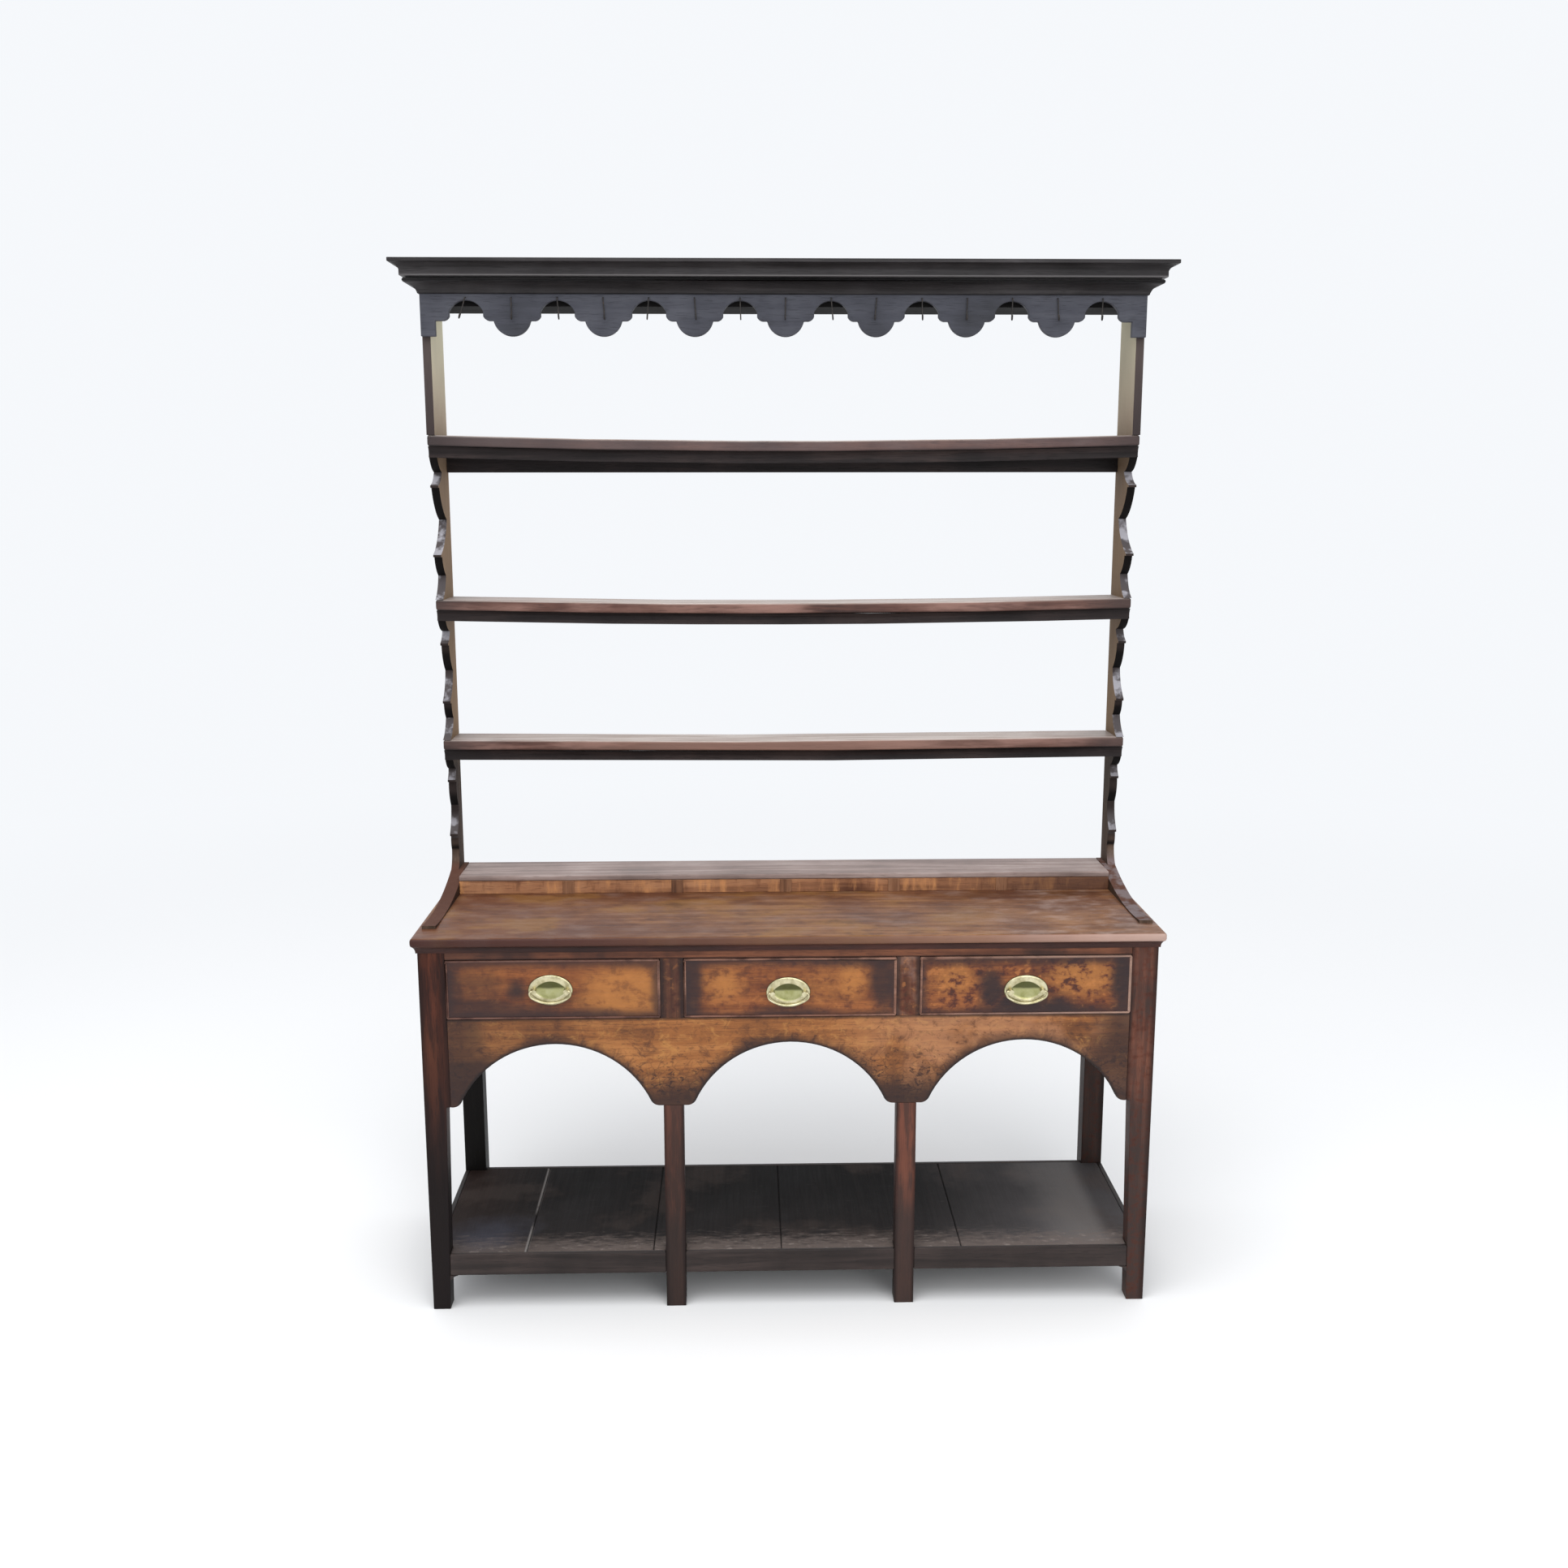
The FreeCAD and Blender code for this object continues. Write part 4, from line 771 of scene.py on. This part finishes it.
print("finishes: making")
oakLooks = {
    "cornice_oak": dict(dark=(20, 18, 18), mid=(41, 38, 39), light=(60, 57, 58), seed=1.3, roughness=0.55,
                        patina=cornicePatina),
    "frieze_oak": dict(dark=(34, 35, 40), mid=(56, 57, 65), light=(76, 77, 84), seed=2.1, roughness=0.6,
                       ringShare=0.14, fibreShare=0.16),
    # painted shade: the dust board is made near black, as it is seen in shade from below
    "dust_board_oak": dict(dark=(8, 7, 7), mid=(13, 12, 12), light=(20, 18, 18), seed=2.9, roughness=0.8,
                           specular=0.1),
    "rack_side_oak": dict(dark=(54, 44, 36), mid=(80, 64, 54), light=(112, 92, 78), grain="z", seed=3.4,
                          roughness=0.65, specular=0.06, patina=rackPatina),
    "shelf_oak": dict(dark=(44, 28, 25), mid=(84, 56, 48), light=(122, 90, 80), seed=4.2, roughness=0.45,
                      patina=shelfPatina),
    # painted shade: the shelf mouldings and the top shelf's back rail are made near black, as they are seen
    # in shade under the shelves
    "shelf_mould_oak": dict(dark=(18, 14, 14), mid=(34, 28, 28), light=(54, 44, 42), seed=5.2, specular=0.15),
    "upstand_top_oak": dict(dark=(102, 87, 82), mid=(143, 125, 119), light=(172, 157, 152), seed=6.4),
    "upstand_oak": dict(dark=(88, 54, 38), mid=(148, 102, 72), light=(180, 132, 96), seed=6.9,
                        patina=upstandPatina),
    "upstand_divider_oak": dict(dark=(74, 48, 36), mid=(124, 86, 62), light=(152, 112, 84), grain="z"),
    "base_top_oak": dict(dark=(74, 44, 30), mid=(120, 80, 52), light=(148, 106, 72), seed=7.7, roughness=0.42,
                         specular=0.16, patina=topPatina),
    "top_moulding_oak": dict(dark=(28, 14, 12), mid=(52, 27, 22), light=(76, 42, 34), seed=8.1),
    "leg_oak": dict(dark=(43, 22, 18), mid=(83, 45, 33), light=(124, 71, 50), grain="z", seed=9.6,
                    specular=0.12, patina=legPatina),
    "rail_oak": dict(dark=(50, 27, 20), mid=(96, 56, 38), light=(130, 80, 54), seed=10.2, cloudScale=11.0,
                     patina=railPatina),
    "divider_oak": dict(dark=(44, 24, 18), mid=(96, 56, 36), light=(136, 84, 52), grain="z", seed=10.8,
                        cloudScale=14.0, patina=dividerPatina),
    "apron_oak": dict(dark=(82, 46, 24), mid=(138, 85, 43), light=(170, 113, 63), seed=11.5, roughness=0.42,
                      coat=0.06, patina=apronPatina),
    "panel_oak": dict(dark=(34, 20, 15), mid=(68, 41, 29), light=(98, 62, 44), grain="y", seed=12.4),
    "back_oak": dict(dark=(44, 32, 26), mid=(78, 58, 46), light=(108, 84, 66), seed=13.8, roughness=0.75),
    "potboard_oak": dict(dark=(10, 8, 8), mid=(18, 15, 15), light=(32, 27, 26), grain="y", seed=14.9,
                         roughness=0.65, specular=0.07, patina=potboardPatina),
    "potboard_rail_oak": dict(dark=(24, 18, 17), mid=(42, 34, 32), light=(62, 51, 48), seed=15.3),
    "potboard_end_oak": dict(dark=(20, 15, 14), mid=(34, 28, 26), light=(54, 45, 42), grain="y", seed=15.9),
    "bead_oak": dict(dark=(84, 52, 42), mid=(130, 92, 76), light=(164, 126, 108), seed=16.6,
                     patina=beadPatina),
    "drawer_lining": dict(dark=(120, 88, 58), mid=(168, 132, 92), light=(196, 164, 122), grain="y", seed=17.7,
                          roughness=0.75),
    "drawer_back_lining": dict(dark=(112, 82, 54), mid=(160, 124, 86), light=(190, 156, 114), seed=18.4,
                               roughness=0.75),
}
for word in drawerWords:
    oakLooks[f"drawer_oak_{word}"] = dict(
        dark=(66, 32, 18), mid=(112, 61, 29), light=(146, 86, 43), seed=drawerPatches[word]["seed"],
        roughness=0.36, coat=0.12, patina=drawerPatina(word))
finishes = {name: oak(name, **look) for name, look in oakLooks.items()}


brassLook = {
    "tones": ((0.3, (158, 150, 112)), (0.55, (208, 200, 164)), (0.8, (230, 225, 198))),
    "dish": (136, 142, 74, 0.6),
    "dishSpan": (0.001, 0.0018),
    "dishShade": (60, 62, 34, 0.85),
    "shadeSpan": (0.001, 0.007),
    "tarnishShape": (60, 60, 60, 5.0, 0.6),
    "scratchShape": (900, 900, 900, 2.0, 0.5),
}


def brass(word):
    look = brassLook
    finish = Finish(f"aged_brass_{word}")
    x, y, z = finish.split(finish.place())
    low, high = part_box(f"drawer_{word}_handle_plate")
    tarnish = finish.pattern(x, y, z, look["tarnishShape"])
    scratches = finish.pattern(x, y, z, look["scratchShape"])
    colour = finish.ramp(tarnish, look["tones"])
    sunk = finish.fade(y, *spanFrom(low.y, look["dishSpan"]))
    upper = finish.fade(z.stray(tarnish, 0.006), *spanFrom((low.z + high.z) / 2, look["shadeSpan"]))
    colour = finish.tint(colour, sunk, look["dish"])
    colour = finish.tint(colour, sunk * upper, look["dishShade"])
    finish.shine(
        base_color=colour,
        metallic=1.0,
        roughness=0.22 + tarnish * 0.25 + (scratches - 0.5) * 0.1,
        normal=finish.bump(scratches + tarnish * 3, 0.15, 0.0003),
    )
    return finish.material


ironLook = {
    "tones": ((0.35, (38, 36, 36)), (0.6, (58, 54, 52)), (0.8, (96, 70, 54))),
    "rustShape": (220, 220, 220, 4.0, 0.6),
}


def iron():
    finish = Finish("black_iron")
    rust = finish.pattern(*finish.split(finish.place()), ironLook["rustShape"])
    finish.shine(
        base_color=finish.ramp(rust, ironLook["tones"]),
        metallic=0.6,
        roughness=0.45 + rust * 0.3,
        normal=finish.bump(rust, 0.3, 0.0003),
    )
    return finish.material


gritLook = {
    "tones": ((0.3, (12, 10, 10)), (0.6, (24, 21, 20)), (0.8, (44, 39, 36))),
    "gritShape": (420, 420, 420, 5.0, 0.7),
}


# painted shade: a near black fill for the potboard's joints
def dust():
    finish = Finish("packed_dust")
    grit = finish.pattern(*finish.split(finish.place()), gritLook["gritShape"])
    finish.shine(
        base_color=finish.ramp(grit, gritLook["tones"]),
        roughness=0.8 + grit * 0.2,
        normal=finish.bump(grit, 0.5, 0.0004),
    )
    return finish.material


for word in drawerWords:
    finishes[f"brass_{word}"] = brass(word)
finishes["iron"] = iron()
finishes["dust"] = dust()


# dressing: each frame node gets its finish, and worn edges unless it is round

edgeWear = {
    "plain": 0.0014,
    "worn": 0.003,
    "rounded": 0.006,
    "bead": 0.0016,
    "fine": 0.0006,
    "segments": 3,
    "sharpAngle": 32,
    "flatAngle": 0.6,
    "mergeGap": 0.00001,
}


def finishOf(name):
    starts = (
        ("cornice", "cornice_oak"), ("frieze", "frieze_oak"), ("dust_board", "dust_board_oak"),
        ("rack_side", "rack_side_oak"), ("shelf_mouldings", "shelf_mould_oak"),
        ("shelf_back_rail", "shelf_mould_oak"), ("shelf_", "shelf_oak"), ("upstand_top", "upstand_top_oak"),
        ("upstand_front", "upstand_oak"), ("upstand_dividers", "upstand_divider_oak"),
        ("base_top_moulding", "top_moulding_oak"), ("base_top", "base_top_oak"), ("base_back", "back_oak"),
        ("leg_", "leg_oak"), ("top_rail", "rail_oak"), ("drawer_divider", "divider_oak"),
        ("apron", "apron_oak"), ("end_panel", "panel_oak"), ("drawer_runners", "drawer_lining"),
        ("drawer_guides", "drawer_lining"), ("potboard_boards", "potboard_oak"),
        ("potboard_end", "potboard_end_oak"), ("potboard_", "potboard_rail_oak"),
        ("rail_brackets", "potboard_rail_oak"), ("plate_hooks", "iron"),
    )
    ends = (
        ("_cock_bead", "bead_oak"), ("_sides", "drawer_lining"), ("_back", "drawer_back_lining"),
        ("_bottom", "drawer_back_lining"),
    )
    for start, finish in starts:
        if name.startswith(start):
            return finish
    for end, finish in ends:
        if name.endswith(end):
            return finish
    word = name.split("_")[1]
    return f"brass_{word}" if slotOf[name] == "brass" else f"drawer_oak_{word}"


def softenEdges(item, width):
    weld = item.modifiers.new("join triangles", "WELD")
    weld.merge_threshold = edgeWear["mergeGap"]
    flat = item.modifiers.new("clear flat faces", "DECIMATE")
    flat.decimate_type = "DISSOLVE"
    flat.angle_limit = math.radians(edgeWear["flatAngle"])
    bevel = item.modifiers.new("worn edges", "BEVEL")
    bevel.width = width
    bevel.segments = edgeWear["segments"]
    bevel.limit_method = "ANGLE"
    bevel.angle_limit = math.radians(edgeWear["sharpAngle"])
    bevel.use_clamp_overlap = True
    even = item.modifiers.new("even shading", "WEIGHTED_NORMAL")
    even.keep_sharp = False


edgeKinds = {
    "worn": ("upstand_top", "potboard_boards", "potboard_front_rails", "rack_side_left", "rack_side_right"),
    "rounded": ("base_top", "shelf_top", "shelf_middle", "shelf_bottom"),
    "bead": tuple(f"drawer_{word}_cock_bead" for word in drawerWords),
    "fine": tuple(name for name in nodes if slotOf[name] == "brass"),
}
roundNodes = ("plate_hooks",) + tuple(f"drawer_{word}_bail" for word in drawerWords)
for name, item in nodes.items():
    item.data.materials.clear()
    item.data.materials.append(finishes[finishOf(name)])
    if name in roundNodes:
        continue
    kind = next((kind for kind, names in edgeKinds.items() if name in names), "plain")
    softenEdges(item, edgeWear[kind])
print("dressing: done")


def addObject(name, data):
    item = bpy.data.objects.new(name, data)
    bpy.context.scene.collection.objects.link(item)
    return item


def meshOf(shape, name):
    bmesh.ops.recalc_face_normals(shape, faces=shape.faces)
    mesh = bpy.data.meshes.new(name)
    shape.to_mesh(mesh)
    shape.free()
    return mesh


def addPiece(name, mesh, finish, body, node=None):
    piece = addObject(name, mesh)
    mesh.materials.clear()
    mesh.materials.append(finishes[finish])
    if node:
        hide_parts(node)
    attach(piece, body)


# handle plates: an oval with a broad round rim that falls to a pointed oval dish

plateLook = {
    "around": 96,
    "lensStart": 0.85,
    "lensReach": 0.15,
    "lensPoint": 0.7,
    "lensSlim": 0.24,
    "middleHeight": 0.34,
    # share of the way from the middle to the edge, share of the full height
    "relief": ((1.0, 0.0), (1.0, 0.3), (0.965, 0.66), (0.915, 0.9), (0.85, 1.0), (0.785, 0.9), (0.735, 0.62),
               (0.70, 0.36), (0.65, 0.24), (0.45, 0.2), (0.22, 0.28)),
}


def buildPlate(word):
    low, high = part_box(f"drawer_{word}_handle_plate")
    middle = (low + high) / 2
    half = (high - low) / 2
    shape = bmesh.new()
    rings = []
    for share, height in plateLook["relief"]:
        lens = min(max((plateLook["lensStart"] - share) / plateLook["lensReach"], 0.0), 1.0)
        ring = []
        for step in range(plateLook["around"]):
            angle = math.tau * step / plateLook["around"]
            rise = math.copysign(abs(math.sin(angle)) ** (1 + lens * plateLook["lensPoint"]), math.sin(angle))
            ring.append(shape.verts.new((
                middle.x + half.x * share * math.cos(angle),
                high.y - (high.y - low.y) * height,
                middle.z + half.z * share * rise * (1 - plateLook["lensSlim"] * lens))))
        rings.append(ring)
    centre = shape.verts.new((middle.x, high.y - (high.y - low.y) * plateLook["middleHeight"], middle.z))
    shape.faces.new(reversed(rings[0]))
    for step in range(plateLook["around"]):
        following = (step + 1) % plateLook["around"]
        for outer, inner in zip(rings, rings[1:]):
            shape.faces.new((outer[step], outer[following], inner[following], inner[step]))
        shape.faces.new((rings[-1][step], rings[-1][following], centre))
    mesh = meshOf(shape, f"handle_plate_{word}")
    for face in mesh.polygons:
        face.use_smooth = len(face.vertices) < 5
    addPiece(f"handle_plate_{word}", mesh, f"brass_{word}", f"drawer_{word}",
             f"drawer_{word}_handle_plate")


for word in drawerWords:
    buildPlate(word)
print("handle plates: done")


# hooks: one bent wire, set along the frieze with a little lean to each

hookLook = {
    "wire": 0.0013,
    "sides": 12,
    "turnStep": 15,
    "stem": 0.036,
    "elbow": 0.0032,
    "curl": 0.0045,
    "tip": 0.005,
    "count": 15,
    "lean": 0.09,
    "firstLean": 0.3,
    "seed": 7,
}


def hookRoute(reach):
    # from the end of the pin: forward, down, and round the curl to the tip
    elbow, curl = hookLook["elbow"], hookLook["curl"]
    points = [(0, 0, 0)]
    for degrees in range(90, -1, -hookLook["turnStep"]):
        angle = math.radians(degrees)
        points.append((0, -(reach - elbow) - elbow * math.cos(angle), elbow * math.sin(angle) - elbow))
    drop = -elbow - hookLook["stem"]
    for degrees in range(180, 361, hookLook["turnStep"]):
        angle = math.radians(degrees)
        points.append((0, -(reach + curl) - curl * math.cos(angle), drop + curl * math.sin(angle)))
    points.append((0, -(reach + curl * 2), drop + hookLook["tip"]))
    return points


def hookTree():
    tree = bpy.data.node_groups.new("hook_row", "GeometryNodeTree")
    inputs = (("Wire", "NodeSocketGeometry"), ("Thickness", "NodeSocketFloat"), ("Count", "NodeSocketInt"),
              ("Start", "NodeSocketVector"), ("Spacing", "NodeSocketVector"), ("Lean", "NodeSocketFloat"),
              ("First Lean", "NodeSocketFloat"), ("Seed", "NodeSocketInt"), ("Finish", "NodeSocketMaterial"))
    for name, kind in inputs:
        tree.interface.new_socket(name, in_out="INPUT", socket_type=kind)
    tree.interface.new_socket("Hooks", in_out="OUTPUT", socket_type="NodeSocketGeometry")

    def add(kind, links, **settings):
        node = tree.nodes.new(kind)
        for key, value in settings.items():
            setattr(node, key, value)
        for key, value in links.items():
            if isinstance(value, bpy.types.NodeSocket):
                tree.links.new(value, node.inputs[key])
            else:
                node.inputs[key].default_value = value
        return node

    given = add("NodeGroupInput", {}).outputs
    bent = add("GeometryNodeMeshToCurve", {"Mesh": given["Wire"]}).outputs["Curve"]
    ring = add("GeometryNodeCurvePrimitiveCircle",
               {"Resolution": hookLook["sides"], "Radius": given["Thickness"]}).outputs["Curve"]
    hook = add("GeometryNodeCurveToMesh",
               {"Curve": bent, "Profile Curve": ring, "Fill Caps": True}).outputs["Mesh"]
    row = add("GeometryNodeMeshLine", {"Count": given["Count"], "Start Location": given["Start"],
                                       "Offset": given["Spacing"]}).outputs["Mesh"]
    least = add("ShaderNodeMath", {0: given["Lean"], 1: -1.0}, operation="MULTIPLY").outputs[0]
    lean = add("FunctionNodeRandomValue", {2: least, 3: given["Lean"], "Seed": given["Seed"]},
               data_type="FLOAT").outputs[1]
    index = add("GeometryNodeInputIndex", {}).outputs[0]
    first = add("FunctionNodeCompare", {2: index, 3: 0}, data_type="INT", operation="EQUAL").outputs[0]
    turn = add("GeometryNodeSwitch", {"Switch": first, "False": lean, "True": given["First Lean"]},
               input_type="FLOAT").outputs[0]
    turned = add("ShaderNodeCombineXYZ", {"Y": turn}).outputs[0]
    hooks = add("GeometryNodeInstanceOnPoints",
                {"Points": row, "Instance": hook, "Rotation": turned}).outputs[0]
    real = add("GeometryNodeRealizeInstances", {"Geometry": hooks}).outputs[0]
    painted = add("GeometryNodeSetMaterial", {"Geometry": real, "Material": given["Finish"]}).outputs[0]
    add("NodeGroupOutput", {"Hooks": painted})
    return tree


def buildHooks():
    low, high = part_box("plate_hooks")
    friezeLow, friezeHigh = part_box("frieze")
    wire = hookLook["wire"]
    pinUp = high.z - wire
    reach = high.y - low.y - wire - hookLook["curl"] * 2
    points = hookRoute(reach)
    mesh = bpy.data.meshes.new("hook_wire")
    mesh.from_pydata(points, [(index, index + 1) for index in range(len(points) - 1)], [])
    maker = addObject("hook_wire", mesh)
    spacing = (friezeHigh.x - friezeLow.x) / (hookLook["count"] + 1)
    tree = hookTree()
    modifier = maker.modifiers.new("hook row", "NODES")
    modifier.node_group = tree
    values = {
        "Thickness": wire,
        "Count": hookLook["count"],
        "Start": (friezeLow.x + spacing, high.y, pinUp),
        "Spacing": (spacing, 0.0, 0.0),
        "Lean": hookLook["lean"],
        "First Lean": hookLook["firstLean"],
        "Seed": hookLook["seed"],
        "Finish": finishes["iron"],
    }
    for socket in tree.interface.items_tree:
        if socket.name in values:
            modifier[socket.identifier] = values[socket.name]
    made = maker.evaluated_get(bpy.context.evaluated_depsgraph_get())
    hooks = bpy.data.meshes.new_from_object(made)
    hooks.name = "wire_hooks"
    hooks.shade_smooth()
    bpy.data.objects.remove(maker)
    addPiece("wire_hooks", hooks, "iron", "case", "plate_hooks")


buildHooks()
print("hooks: done")


# a dark fill in the joints between the potboard's boards, painted shade that stands in for the shade under
# them; the first joint is open

dustLook = {
    "jointWidest": 0.002,
    "openJoints": 1,
    "below": 0.0036,
    "depth": 0.005,
    "steps": 80,
    "unevenness": 0.0008,
    "seed": 11,
}


def buildDust():
    low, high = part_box("potboard_boards")
    edges = sorted({round(vertex.co.x, 5) for vertex in nodes["potboard_boards"].data.vertices})
    joints = [(left, right) for left, right in zip(edges, edges[1:])
              if right - left < dustLook["jointWidest"]]
    chance = random.Random(dustLook["seed"])
    shape = bmesh.new()
    for left, right in joints[dustLook["openJoints"]:]:
        stations = []
        for step in range(dustLook["steps"] + 1):
            along = low.y + (high.y - low.y) * step / dustLook["steps"]
            top = high.z - dustLook["below"] - chance.random() * dustLook["unevenness"]
            bottom = high.z - dustLook["below"] - dustLook["depth"]
            corners = ((left, bottom), (right, bottom), (right, top), (left, top))
            stations.append([shape.verts.new((x, along, z)) for x, z in corners])
        shape.faces.new(stations[0])
        shape.faces.new(reversed(stations[-1]))
        for near, far in zip(stations, stations[1:]):
            for corner in range(4):
                following = (corner + 1) % 4
                shape.faces.new((near[corner], far[corner], far[following], near[following]))
    mesh = meshOf(shape, "potboard_joint_dust")
    addPiece("potboard_joint_dust", mesh, "dust", "case")
    return len(joints) - dustLook["openJoints"]


print("dust:", buildDust(), "joints")


# stage: a pale floor that runs into the air, two soft lights and the camera

stageLook = {
    "floorTone": (0.86, 0.86, 0.86, 1.0),
    "floorReach": 40.0,
    "fadeStart": 1.2,
    "fadeEnd": 6.0,
    "worldTone": (0.95, 0.97, 1.0, 1.0),
    "worldStrength": 0.97,
}


def buildStage():
    reach = stageLook["floorReach"]
    mesh = bpy.data.meshes.new("studio_floor")
    corners = [(-reach, -reach, 0), (reach, -reach, 0), (reach, reach, 0), (-reach, reach, 0)]
    mesh.from_pydata(corners, [], [(0, 1, 2, 3)])
    floor = addObject("studio_floor", mesh)
    finish = Finish("pale_floor")
    x, y, z = finish.split(finish.place())
    far = finish.fade((x * x + y * y).root(), stageLook["fadeStart"], stageLook["fadeEnd"])
    air = [channel * stageLook["worldStrength"] for channel in stageLook["worldTone"][:3]] + [1.0]
    black = (0.0, 0.0, 0.0, 1.0)
    finish.shine(
        base_color=finish.blend(far, stageLook["floorTone"], black),
        emission_color=finish.blend(far, black, air),
        emission_strength=1.0,
        roughness=0.9,
    )
    finish.surface.inputs["Specular IOR Level"].default_value = 0.0
    mesh.materials.append(finish.material)
    world = bpy.data.worlds.new("studio_air")
    world.use_nodes = True
    sky = world.node_tree.nodes["Background"]
    sky.inputs["Color"].default_value = stageLook["worldTone"]
    sky.inputs["Strength"].default_value = stageLook["worldStrength"]
    bpy.context.scene.world = world


lightLooks = {
    "overhead_soft": {"place": (-0.6, -1.6, 4.2), "target": (0, 0, 0.9), "width": 3.2, "power": 95},
    "front_soft": {"place": (1.6, -4.2, 2.6), "target": (0, 0, 1.0), "width": 2.6, "power": 45},
}


def buildLight(name, look):
    data = bpy.data.lights.new(name, "AREA")
    data.shape = "SQUARE"
    data.size = look["width"]
    data.energy = look["power"]
    light = addObject(name, data)
    light.location = look["place"]
    light.rotation_euler = (Vector(look["target"]) - light.location).to_track_quat("-Z", "Y").to_euler()


buildStage()
for name, look in lightLooks.items():
    buildLight(name, look)


cameraLook = {
    "place": (-0.091, -3.2207, 1.6982),
    "pitchDown": 10.84,
    "turnRight": 1.51,
    "roll": 0.05,
    "focalPixels": 1898.24,
    "framePixels": 1932,
    "sensor": 36.0,
}


def buildCamera():
    data = bpy.data.cameras.new("front_view")
    data.sensor_width = cameraLook["sensor"]
    data.lens = cameraLook["sensor"] * cameraLook["focalPixels"] / cameraLook["framePixels"]
    camera = addObject("front_view", data)
    camera.location = cameraLook["place"]
    camera.rotation_euler = (math.radians(90 - cameraLook["pitchDown"]), math.radians(cameraLook["roll"]),
                             math.radians(-cameraLook["turnRight"]))
    bpy.context.scene.camera = camera


buildCamera()
bpy.context.scene.view_settings.view_transform = "Standard"
print("stage: done")
